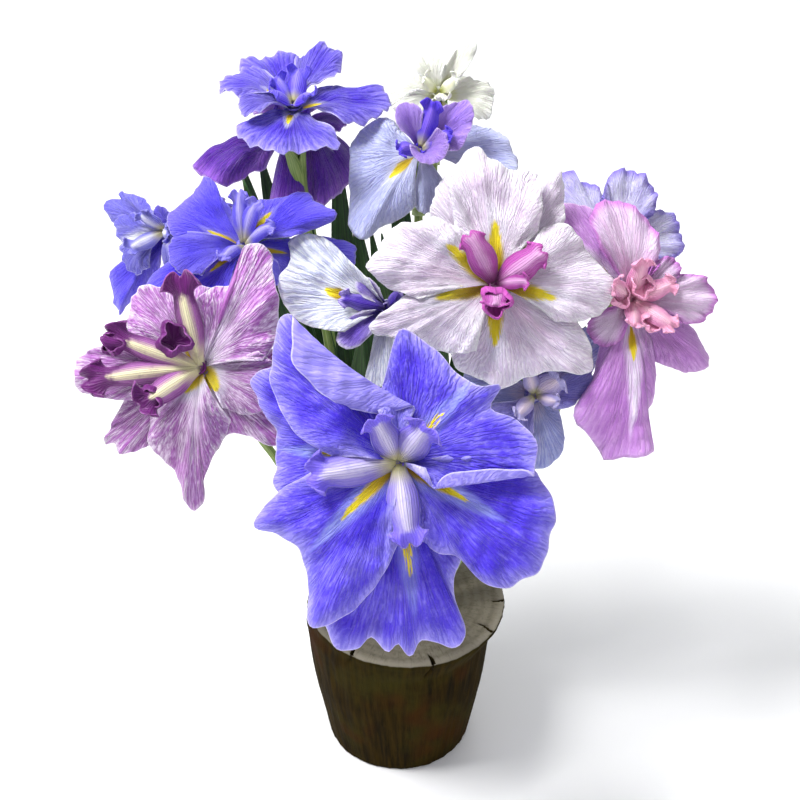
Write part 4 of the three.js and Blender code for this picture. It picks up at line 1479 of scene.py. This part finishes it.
FLOWERS = (
    Flower(
        "front_blue", (-5, -92, 287), (0, 34), 265, (-5, -42, 195),
        falls=(
            Petal(((126, 60), (136, 80), (144, 88), (151, 92), (158, 82), (166, 70), (179, 67), (192, 69),
                   (203, 58)), (-2, -12), midrib=174),
            Petal(((236, 62), (242, 86), (247, 102), (253, 111), (258, 106), (261, 100), (267, 105),
                   (270, 100), (274, 109), (278, 101), (286, 108), (291, 105), (293, 78), (301, 66),
                   (310, 55)), (-2, -17), midrib=276, frill=1.4, signal=0.65, shift=20),
            Petal(((278, 34), (292, 52), (302, 60), (305, 78), (311, 90), (322, 96), (332, 93), (346, 86),
                   (356, 74), (372, 44)), (8, 3), midrib=331, frill=1.2),
        ),
        standards=(
            Petal(((72, 30), (82, 47), (94, 62), (106, 79), (113, 90), (118, 92), (127, 99), (134, 94),
                   (147, 81), (158, 66), (166, 52), (175, 34)), (14, 11), waves=2, signal=0.0,
                  fold=Fold((-60, 80), (9, 28), 1.8, bow=-4.5)),
            Petal(((186, 46), (195, 68), (203, 84), (211, 76), (222, 71), (232, 80), (240, 96),
                   (243, 100), (249, 91), (258, 73), (270, 44)), (11, 2), midrib=225, frill=1.2),
            Petal(((-10, 15), (-38, 26), (-38, 34), (-29, 43), (-22, 51), (-15, 61), (-9, 72), (8, 74),
                   (20, 67), (31, 58), (37, 68), (44, 59), (58, 58), (72, 63), (84, 70), (89, 72),
                   (94, 57), (100, 44), (112, 32)), (12, 10), midrib=48, ruffle=1.4, curl=-0.6,
                  signal=0.7, shift=-5, fold=Fold((72, -5.5), (20, -12), 1.5)),
        ),
        arms=(
            StyleArm(187, 51, (15, 13), 9.8, 4), StyleArm(278, 47, (16, 14), 8.6, 5),
            StyleArm(52, 27, (18, 25), 9.6, 2), StyleArm(117, 29, (17, 23), 8.0, 3),
        ),
        fall_finish=BLUE, standard_finish=BLUE, style_finish=BLUE_STYLE, detail=(84, 74),
    ),
    Flower(
        "pink_white", (50, -1, 345), (0, 34), 293, (32, 0, 230),
        falls=(
            Petal(((30, 44), (46, 58), (60, 75), (66, 66), (82, 48)), (0, -6), signal=0.65),
            Petal(((96, 50), (111, 70), (119, 66), (132, 55), (146, 46)), (0, -6), signal=0.0),
            Petal(((228, 40), (244, 51), (260, 54), (274, 59), (290, 56), (302, 58), (319, 75), (328, 65),
                   (344, 44)), (1, -7), midrib=270, frill=1.2),
        ),
        standards=(
            Petal(((50, 38), (62, 55), (69, 66), (84, 66), (92, 70), (98, 79), (106, 73), (113, 69),
                   (120, 48), (130, 34)), (9, 6), midrib=91, frill=1.2),
            Petal(((328, 40), (338, 55), (347, 64), (359, 69), (370, 61), (384, 55), (400, 53),
                   (410, 42)), (9, 1), midrib=346, frill=1.2),
            Petal(((124, 36), (132, 50), (141, 55), (151, 66), (162, 68), (172, 73), (180, 64),
                   (192, 44)), (11, 8), midrib=143, frill=1.2),
            Petal(((182, 44), (192, 60), (199, 76), (206, 68), (216, 54), (234, 48), (254, 40)), (9, 3),
                  midrib=194, frill=1.2),
        ),
        arms=(
            StyleArm(121, 33, (15, 18), 8.0, -2, droop=0.75, flare=0.3),
            StyleArm(33, 33, (15, 18), 8.6, -2, droop=0.75, flare=0.3),
            StyleArm(268, 15, (13, 14), 7.0, 3, droop=0.3), StyleArm(3, 19, (12, 14), 4.2, 3, droop=0.5),
            Knot(266, 9, 8.5, 9),
        ),
        fall_finish=PINK_WHITE, standard_finish=PINK_WHITE, style_finish=PINK_STYLE, detail=(56, 52),
    ),
    Flower(
        "mottled", (-116, -34, 310), (0, 34), 210, (-68, -16, 215),
        falls=(
            Petal(((72, 38), (84, 46), (100, 46), (114, 50), (127, 58), (136, 56), (147, 50), (158, 44)),
                  (2, -4), 4, frill=1.8),
            Petal(((192, 42), (207, 54), (217, 72), (221, 66), (226, 68), (233, 57), (244, 44)), (0, -10),
                  4, frill=1.8),
            Petal(((258, 44), (266, 56), (271, 48), (280, 48), (288, 40), (303, 46), (314, 62), (328, 67),
                   (342, 63), (358, 54), (378, 40)), (1, -7), 4, midrib=282, frill=1.6),
        ),
        standards=(
            Petal(((6, 36), (18, 44), (32, 52), (46, 62), (54, 69), (60, 77), (66, 77), (70, 70),
                   (66, 58), (67, 51), (80, 46), (94, 36)), (8, 4), midrib=40, signal=0.0, ruffle=4.0,
                  pleat=2.2, frill=1.4),
            Petal(((160, 42), (168, 57), (175, 69), (190, 70), (197, 58), (206, 42)), (8, 1), signal=0.0,
                  ruffle=4.0, pleat=2.2, frill=1.8),
            Petal(((224, 40), (238, 54), (252, 59), (260, 68), (266, 82), (270, 76), (271, 63), (284, 44),
                   (300, 34)), (7, -6), midrib=236, ruffle=4.0, pleat=2.2, frill=1.4),
            Petal(((300, 26), (316, 38), (330, 44), (345, 46), (360, 44), (376, 34)), (5, 3), midrib=308,
                  ruffle=4.0, pleat=2.2, frill=1.4),
        ),
        arms=(
            StyleArm(100, 56, (14, 17), 7.0, 6, droop=0.7, flare=0.9),
            StyleArm(160, 57, (14, 15), 6.4, 6, droop=0.7, flare=0.9),
            StyleArm(186, 67, (14, 11), 6.6, 5, droop=0.7, flare=0.9),
            StyleArm(214, 41, (15, 17), 7.2, 6, droop=0.7, flare=0.9),
            Knot(135, 20, 9.5, 11), Knot(164, 46, 6.5, 14), Knot(212, 30, 6.5, 15),
        ),
        fall_finish=MOTTLED, standard_finish=MOTTLED, style_finish=MOTTLED_STYLE, detail=(50, 46),
    ),
    Flower(
        "left_blue", (-94, 26, 355), (-5, 52), 183, (-58, 18, 235),
        falls=(
            Petal(((112, 24), (119, 36), (118, 47), (121, 54), (128, 51), (138, 48), (150, 50), (161, 50),
                   (171, 45), (182, 34)), (2, 0), midrib=157),
            Petal(((165, 34), (179, 41), (188, 50), (195, 61), (203, 63), (214, 57), (232, 53), (252, 49),
                   (276, 34)), (0, -16)),
            Petal(((324, 26), (339, 32), (350, 46), (358, 61), (367, 63), (375, 62), (381, 48),
                   (388, 34)), (-4, -20)),
        ),
        standards=(
            Petal(((168, 34), (180, 43), (196, 44), (211, 38), (225, 30)), (7, 2), signal=0.0),
            Petal(((5, 28), (14, 42), (16, 53), (21, 57), (27, 52), (34, 49), (44, 48), (51, 41),
                   (61, 34), (72, 29), (83, 20)), (8, 6), midrib=52),
            Petal(((80, 16), (85, 25), (91, 30), (96, 27), (103, 16)), (9, 10), signal=0.0, ruffle=1.0),
            Petal(((256, 28), (272, 33), (290, 34), (306, 31), (322, 28), (338, 22)), (5, -4),
                  signal=0.0),
        ),
        arms=(
            StyleArm(97, 27, (14, 17), 4.6, 3, droop=0.6), StyleArm(66, 23, (15, 18), 4.8, 3, droop=0.4),
            StyleArm(240, 20, (12, 11), 4.2), StyleArm(18, 22, (12, 12), 4.2),
        ),
        fall_finish=DEEP_BLUE, standard_finish=DEEP_BLUE, style_finish=DEEP_BLUE_STYLE,
    ),
    Flower(
        "right_pink", (130, 9, 329), (10, 32), 348, (80, 20, 215),
        falls=(
            Petal(((234, 28), (242, 46), (240, 62), (239, 73), (247, 81), (256, 87), (260, 96), (267, 92),
                   (276, 91), (277, 70), (283, 63), (289, 44), (296, 30)), (0, -12), 5, midrib=267,
                  pleat=2.6),
            Petal(((286, 36), (301, 50), (310, 60), (320, 63), (326, 56), (333, 44), (341, 32)), (0, -9),
                  pleat=2.2, signal=0.0),
            Petal(((94, 40), (105, 54), (114, 65), (124, 69), (133, 62), (147, 56), (163, 44)), (0, -6),
                  midrib=132, pleat=1.8),
        ),
        standards=(
            Petal(((328, 30), (335, 40), (346, 48), (360, 49), (372, 44), (380, 35), (389, 24)), (8, 5),
                  signal=0.0, ruffle=4.6, waves=4, frill=2.2),
            Petal(((50, 24), (60, 34), (70, 43), (84, 52), (96, 58), (108, 59), (114, 54), (123, 36)),
                  (8, 8), signal=0.0, ruffle=4.6, waves=4, frill=2.2),
            Petal(((190, 22), (204, 30), (220, 33), (236, 31), (250, 24)), (6, 1), frill=1.4, signal=0.0),
            Petal(((12, 22), (24, 30), (36, 33), (48, 31), (60, 22)), (8, 9), signal=0.0, ruffle=4.0,
                  frill=2.2),
        ),
        arms=(
            StyleArm(150, 21, (14, 18), 5.4), StyleArm(20, 24, (14, 16), 5.4),
            StyleArm(315, 29, (13, 12), 5.4),
            StyleArm(85, 24, (14, 20), 5.8), StyleArm(250, 18, (12, 14), 5.0), Knot(60, 9, 7.0, 10),
            Knot(300, 14, 6.0, 8), Knot(170, 12, 6.0, 10),
        ),
        fall_finish=MAUVE, standard_finish=FRILLED_PINK, style_finish=PINK_CREST,
    ),
    Flower(
        "slate", (75, -9, 275), (0, 30), 321, (48, -2, 190),
        falls=(
            Petal(((244, 30), (256, 39), (267, 45), (284, 44), (298, 38), (312, 27), (328, 18)), (1, -5),
                  midrib=252, pleat=2.2),
            Petal(((6, 26), (16, 34), (26, 42), (38, 52), (48, 52), (58, 44), (68, 28)), (0, -4),
                  signal=0.0),
            Petal(((128, 30), (140, 38), (156, 42), (172, 42), (188, 38), (204, 30)), (0, -6),
                  signal=0.0),
        ),
        standards=(
            Petal(((56, 20), (68, 28), (84, 31), (100, 30), (116, 22)), (6, 3), signal=0.0),
            Petal(((190, 24), (206, 31), (222, 34), (238, 34), (256, 30), (270, 22)), (6, 1), signal=0.0),
            Petal(((322, 14), (342, 22), (360, 28), (379, 36), (388, 33), (398, 20)), (6, 4), signal=0.0),
        ),
        arms=(
            StyleArm(40, 19, (11, 14), 7.5, 2, droop=0.4), StyleArm(225, 18, (12, 13), 4.5),
            StyleArm(110, 18, (12, 14), 4.5), StyleArm(345, 15, (11, 12), 3.6),
        ),
        fall_finish=SLATE, standard_finish=SLATE_BLUE, style_finish=SLATE_STYLE,
    ),
    Flower(
        "white_veined", (-11, 6, 325), (-6, 34), 238, (-12, 10, 220),
        falls=(
            Petal(((124, 18), (132, 36), (134, 51), (140, 63), (148, 69), (157, 62), (167, 65), (180, 61),
                   (194, 49), (214, 28)), (9, 10), waves=2, midrib=167),
            Petal(((244, 16), (252, 32), (257, 48), (266, 46), (277, 38), (286, 22)), (0, -5),
                  signal=0.0),
            Petal(((350, 26), (4, 36), (20, 40), (36, 37), (52, 28)), (0, -7), signal=0.0),
        ),
        standards=(
            Petal(((112, 12), (124, 20), (138, 24), (150, 22), (160, 14)), (6, 7), ruffle=1.5,
                  signal=0.0),
            Petal(((190, 14), (200, 25), (212, 33), (222, 35), (234, 30), (246, 16)), (7, 6), ruffle=1.0,
                  signal=0.0),
            Petal(((318, 14), (334, 19), (350, 14)), (5, 2), signal=0.0),
        ),
        arms=(
            StyleArm(172, 29, (8, 8), 4.6, 2), StyleArm(300, 12, (6, 4), 3.6, 1),
            StyleArm(50, 13, (6, 4), 3.6, 1),
        ),
        fall_finish=VEINED_WHITE, standard_finish=INDIGO, style_finish=INDIGO_STYLE,
    ),
    Flower(
        "pale_lavender", (8, 64, 398), (0, 45), 72, (6, 56, 260),
        falls=(
            Petal(((126, 26), (137, 33), (150, 37), (165, 41), (186, 42), (206, 46), (219, 54), (228, 61),
                   (237, 62), (242, 50), (253, 40), (266, 31)), (1, -8), midrib=222, pleat=2.0),
            Petal(((260, 28), (272, 35), (286, 33), (300, 28), (312, 20)), (0, -10), signal=0.0),
            Petal(((334, 46), (345, 57), (354, 58), (365, 54), (377, 49), (386, 42), (399, 27)), (1, -5),
                  signal=0.0),
        ),
        standards=(
            Petal(((84, 16), (98, 21), (112, 25), (126, 24), (140, 19), (154, 13)), (11, 16), signal=0.0),
            Petal(((334, 16), (348, 23), (362, 26), (378, 31), (392, 36), (404, 37), (418, 24)), (11, 14),
                  signal=0.0),
            Petal(((214, 8), (244, 11), (278, 15), (310, 17), (340, 17), (368, 15), (392, 11)), (14, 17),
                  ruffle=1.5, signal=0.0),
        ),
        arms=(
            StyleArm(208, 16, (13, 14), 5.0, 2), StyleArm(70, 24, (14, 19), 5.6, 2),
            StyleArm(10, 20, (13, 14), 4.4),
        ),
        fall_finish=PALE_LAVENDER, standard_finish=LILAC, style_finish=LILAC_STYLE,
    ),
    Flower(
        "top_violet", (-66, 76, 420), (0, 80), 127, (-48, 62, 260),
        falls=(
            Petal(((334, 30), (345, 38), (357, 49), (370, 57), (380, 59), (389, 58), (398, 47),
                   (410, 30)), (3, -2), frill=1.6),
            Petal(((200, 27), (209, 37), (226, 38), (247, 39), (263, 41), (277, 34), (288, 35), (302, 43),
                   (311, 43), (322, 31)), (2, -3), frill=1.6),
            Petal(((70, 40), (80, 50), (92, 54), (107, 56), (121, 55), (131, 52), (142, 38)), (6, 6),
                  signal=0.0, frill=1.4),
        ),
        standards=(
            Petal(((38, 30), (47, 40), (60, 53), (68, 58), (75, 58), (82, 50), (91, 34)), (9, 8),
                  signal=0.65, frill=1.4),
            Petal(((128, 34), (141, 42), (150, 45), (166, 45), (175, 41), (187, 26)), (9, 8), frill=1.4),
            Petal(((176, 24), (188, 31), (201, 32), (213, 33), (226, 25)), (8, 6), signal=0.0, frill=1.4),
        ),
        arms=(
            StyleArm(205, 15, (9, 10), 5.6), StyleArm(75, 17, (10, 12), 6.0),
            StyleArm(325, 17, (9, 10), 5.6), StyleArm(140, 15, (9, 10), 5.6),
        ),
        fall_finish=VIOLET, standard_finish=VIOLET, style_finish=VIOLET_STYLE,
    ),
    Flower(
        "deep_purple", (-66, 102, 395), (0, 80), 99, (-42, 78, 250),
        falls=(
            Petal(((158, 26), (169, 37), (182, 40), (190, 50), (192, 65), (205, 61), (218, 60), (222, 46),
                   (228, 28)), (2, -14), midrib=200),
            Petal(((224, 22), (238, 32), (250, 36), (264, 37), (278, 35), (292, 22)), (-3, -31), 0,
                  pleat=2.4),
            Petal(((284, 26), (296, 37), (314, 35), (332, 33), (350, 37), (366, 39), (379, 37),
                   (390, 28)), (-3, -28), 0, pleat=2.4),
        ),
        standards=(
            Petal(((50, 24), (62, 30), (75, 32), (88, 30), (100, 24)), (4, 2), 2, signal=0.0),
            Petal(((116, 26), (128, 31), (140, 33), (152, 31), (164, 26)), (4, 2), 2, signal=0.0),
            Petal(((346, 24), (358, 28), (370, 30), (382, 28), (394, 24)), (4, 0), 2, signal=0.0),
        ),
        arms=(StyleArm(60, 15, (7, 7), 4), StyleArm(180, 15, (7, 7), 4), StyleArm(300, 13, (7, 7), 4)),
        fall_finish=PURPLE, standard_finish=PURPLE, style_finish=PURPLE_STYLE,
    ),
    Flower(
        "ivory", (19, 113, 412), (5, 50), 44, (18, 80, 260),
        falls=(
            Petal(((116, 18), (134, 25), (151, 28), (170, 30), (188, 29), (204, 24), (216, 17)), (2, -2),
                  4, frill=1.8, signal=0.0),
            Petal(((236, 20), (254, 27), (272, 30), (290, 28), (308, 20)), (2, -6), frill=1.6),
            Petal(((322, 26), (335, 34), (350, 34), (364, 35), (373, 33), (384, 27), (400, 20)), (2, -2),
                  4, frill=1.8, signal=0.0),
        ),
        standards=(
            Petal(((26, 15), (33, 22), (41, 29), (46, 36), (52, 38), (58, 36), (62, 31), (66, 22),
                   (76, 13)), (7, 9), 2, signal=0.0),
            Petal(((72, 15), (88, 19), (104, 21), (118, 24), (130, 22), (146, 16)), (7, 8), 4, frill=1.8,
                  signal=0.0),
            Petal(((186, 18), (200, 26), (215, 28), (230, 26), (244, 18)), (7, 6), 4, frill=1.8,
                  signal=0.0),
        ),
        arms=(
            StyleArm(150, 12, (7, 8), 3.8), StyleArm(20, 13, (7, 8), 3.8), StyleArm(280, 11, (7, 7), 3.8),
        ),
        fall_finish=IVORY, standard_finish=IVORY, style_finish=IVORY_STYLE,
    ),
    Flower(
        "ruffled", (125, 53, 338), (5, 45), 16, (78, 52, 225),
        falls=(
            Petal(((92, 34), (101, 43), (107, 48), (114, 57), (123, 59), (132, 53), (145, 43), (157, 32)),
                  (2, -3), 4, ruffle=4.6, waves=4, frill=2.4, signal=0.0),
            Petal(((340, 26), (349, 34), (358, 42), (371, 44), (385, 45), (394, 44), (402, 37),
                   (411, 28)), (2, -3), 4, ruffle=4.6, waves=4, frill=2.4, signal=0.0),
            Petal(((212, 26), (228, 34), (245, 37), (262, 34), (280, 26)), (0, -14), signal=0.0),
        ),
        standards=(
            Petal(((38, 30), (50, 41), (61, 46), (73, 49), (83, 48), (92, 43), (106, 30)), (8, 8), 4,
                  ruffle=4.6, waves=4, frill=2.4, signal=0.0),
            Petal(((156, 24), (170, 31), (185, 33), (200, 31), (214, 24)), (8, 5), ruffle=4.0, frill=2.2,
                  signal=0.0),
            Petal(((280, 22), (292, 28), (305, 30), (318, 29), (332, 24)), (7, 3), ruffle=4.0, frill=2.2,
                  signal=0.0),
        ),
        arms=(
            StyleArm(90, 19, (12, 16), 5.2), StyleArm(200, 17, (12, 14), 5.2),
            StyleArm(330, 17, (12, 14), 5.2),
        ),
        fall_finish=RUFFLED, standard_finish=RUFFLED, style_finish=RUFFLED_STYLE,
    ),
    Flower(
        "far_left", (-143, 58, 348), (-35, 22), 155, (-92, 52, 240),
        falls=(
            Petal(((78, 9), (96, 12), (114, 14), (132, 17), (148, 14)), (2, 3), signal=0.0),
            Petal(((206, 36), (216, 45), (220, 59), (226, 66), (234, 74), (241, 74), (243, 60), (249, 48),
                   (263, 36)), (0, -8), signal=0.0),
            Petal(((356, 28), (12, 36), (28, 42), (44, 40), (60, 30)), (0, -6), signal=0.0),
        ),
        standards=(
            Petal(((138, 14), (151, 26), (160, 39), (166, 48), (170, 46), (176, 55), (182, 51), (190, 46),
                   (202, 34)), (3, -2), signal=0.0, frill=1.4),
            Petal(((170, 26), (183, 37), (196, 38), (209, 36), (221, 36), (233, 38), (246, 34),
                   (258, 24)), (7, 3), frill=1.6, midrib=207),
            Petal(((292, 24), (308, 30), (325, 31), (342, 28), (356, 22)), (7, 0), signal=0.0),
        ),
        arms=(
            StyleArm(140, 15, (10, 11), 4.6), StyleArm(228, 22, (11, 12), 4.8),
            StyleArm(10, 15, (10, 10), 4.6),
        ),
        fall_finish=DEEP_BLUE, standard_finish=GREY_LILAC, style_finish=GREY_STYLE,
    ),
)

# The leaves are real, but some blades are also placed behind the gaps between the flowers, where their dark
# green partly stands in for painted shade in those gaps.
LEAF_FANS = (
    LeafFan("leaf_fan_left", 169, (
        ((-66, 55, 255), (-103, 108, 374), 12),
        ((-58, 42, 245), (-97, 70, 376), 11),
        ((-62, 60, 252), (-90, 100, 384), 12),
    )),
    LeafFan("leaf_fan_back_left", 141, (
        ((-36, 75, 265), (-43, 104, 386), 12),
        ((-62, 88, 245), (-98, 140, 330), 10),
        ((-50, 80, 250), (-66, 100, 362), 10),
    )),
    LeafFan("leaf_fan_middle", 113, (
        ((-20, 62, 255), (-32, 84, 352), 12),
        ((-30, 50, 225), (-28, 40, 290), 10),
        ((-6, 50, 240), (-22, 70, 345), 10),
    )),
    LeafFan("leaf_fan_back", 86, (
        ((2, 78, 265), (-8, 130, 378), 12),
        ((0, 60, 238), (-15, 66, 342), 10),
    )),
    LeafFan("leaf_fan_back_right", 58, (
        ((40, 78, 260), (64, 125, 370), 11),
        ((20, 60, 240), (14, 72, 348), 10),
    )),
    LeafFan("leaf_fan_right", 30, (
        ((60, 48, 225), (112, 60, 280), 9),
        ((40, 52, 235), (72, 76, 324), 9),
    )),
)


# ---------------------------------------------------------------- the studio


@dataclass(frozen=True)
class Lamp:
    """A soft square light that faces the bouquet, in metres and watts."""

    name: str
    place: tuple[float, float, float]
    size: float
    power: float
    target: tuple[float, float, float] = (0.0, 0.0, 0.28)

    def build(self) -> None:
        """Adds the light to the scene."""
        lamp = bpy.data.lights.new(self.name, "AREA")
        lamp.size = self.size
        lamp.energy = self.power
        made = bpy.data.objects.new(self.name, lamp)
        made.location = self.place
        aim = Vector(self.target) - Vector(self.place)
        made.rotation_euler = aim.to_track_quat("-Z", "Y").to_euler()
        bpy.context.scene.collection.objects.link(made)


@dataclass(frozen=True)
class Studio:
    """A pale floor, soft lights and the camera, in metres and degrees."""

    eye: tuple[float, float, float] = (-0.0039, -0.757, 0.7758)
    tilt: float = 34.0
    lens: float = 68.85
    sensor: float = 36.0
    floor: Colour = (0.95, 0.95, 0.95)
    floor_size: float = 6.0
    sky: Colour = (0.95, 0.97, 1.0)
    sky_strength: float = 0.46
    lamps: tuple[Lamp, ...] = (
        Lamp("key", (-0.85, -0.15, 1.9), 0.7, 56.0),
        Lamp("fill", (0.9, -1.6, 1.2), 1.6, 7.0),
        Lamp("rear", (0.4, 1.4, 1.9), 1.4, 12.0),
    )

    def build(self) -> None:
        """Makes the floor, the lights, the sky and the camera."""
        mesh = bmesh.new()
        bmesh.ops.create_grid(mesh, x_segments=1, y_segments=1, size=self.floor_size)
        data = bpy.data.meshes.new("floor")
        mesh.to_mesh(data)
        mesh.free()
        graph = Graph("floor_paint")
        mottle = graph.noise(graph.place(), 3.0)
        tone = graph.mix(mottle * 0.05, self.floor, tuple(c * 0.95 for c in self.floor))
        data.materials.append(graph.set(Base_Color=tone, Roughness=0.9))
        floor = bpy.data.objects.new("floor", data)
        bpy.context.scene.collection.objects.link(floor)
        for lamp in self.lamps:
            lamp.build()
        world = bpy.data.worlds.new("studio")
        world.use_nodes = True
        sky = world.node_tree.nodes["Background"].inputs
        sky["Color"].default_value = (*self.sky, 1.0)
        sky["Strength"].default_value = self.sky_strength
        bpy.context.scene.world = world
        bpy.context.scene.view_settings.view_transform = "Standard"
        lens = bpy.data.cameras.new("camera")
        lens.lens = self.lens
        lens.sensor_width = self.sensor
        camera = bpy.data.objects.new("camera", lens)
        camera.location = self.eye
        camera.rotation_euler = (math.radians(90 - self.tilt), 0.0, 0.0)
        bpy.context.scene.collection.objects.link(camera)
        bpy.context.scene.camera = camera


def main() -> None:
    """Builds the whole bouquet."""
    logging.basicConfig(level=logging.INFO, format="%(message)s")
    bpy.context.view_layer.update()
    Studio().build()
    LogVase().build()
    WaterCup().build()
    stem_skin, leaf_skin = STEM.dress("stem_skin"), LEAF.dress("leaf_skin")
    for flower in FLOWERS:
        flower.stem(stem_skin)
        for kind in Ring:
            flower.ring(kind)
    for fan in LEAF_FANS:
        fan.build(leaf_skin)


if __name__ == "__main__":
    main()
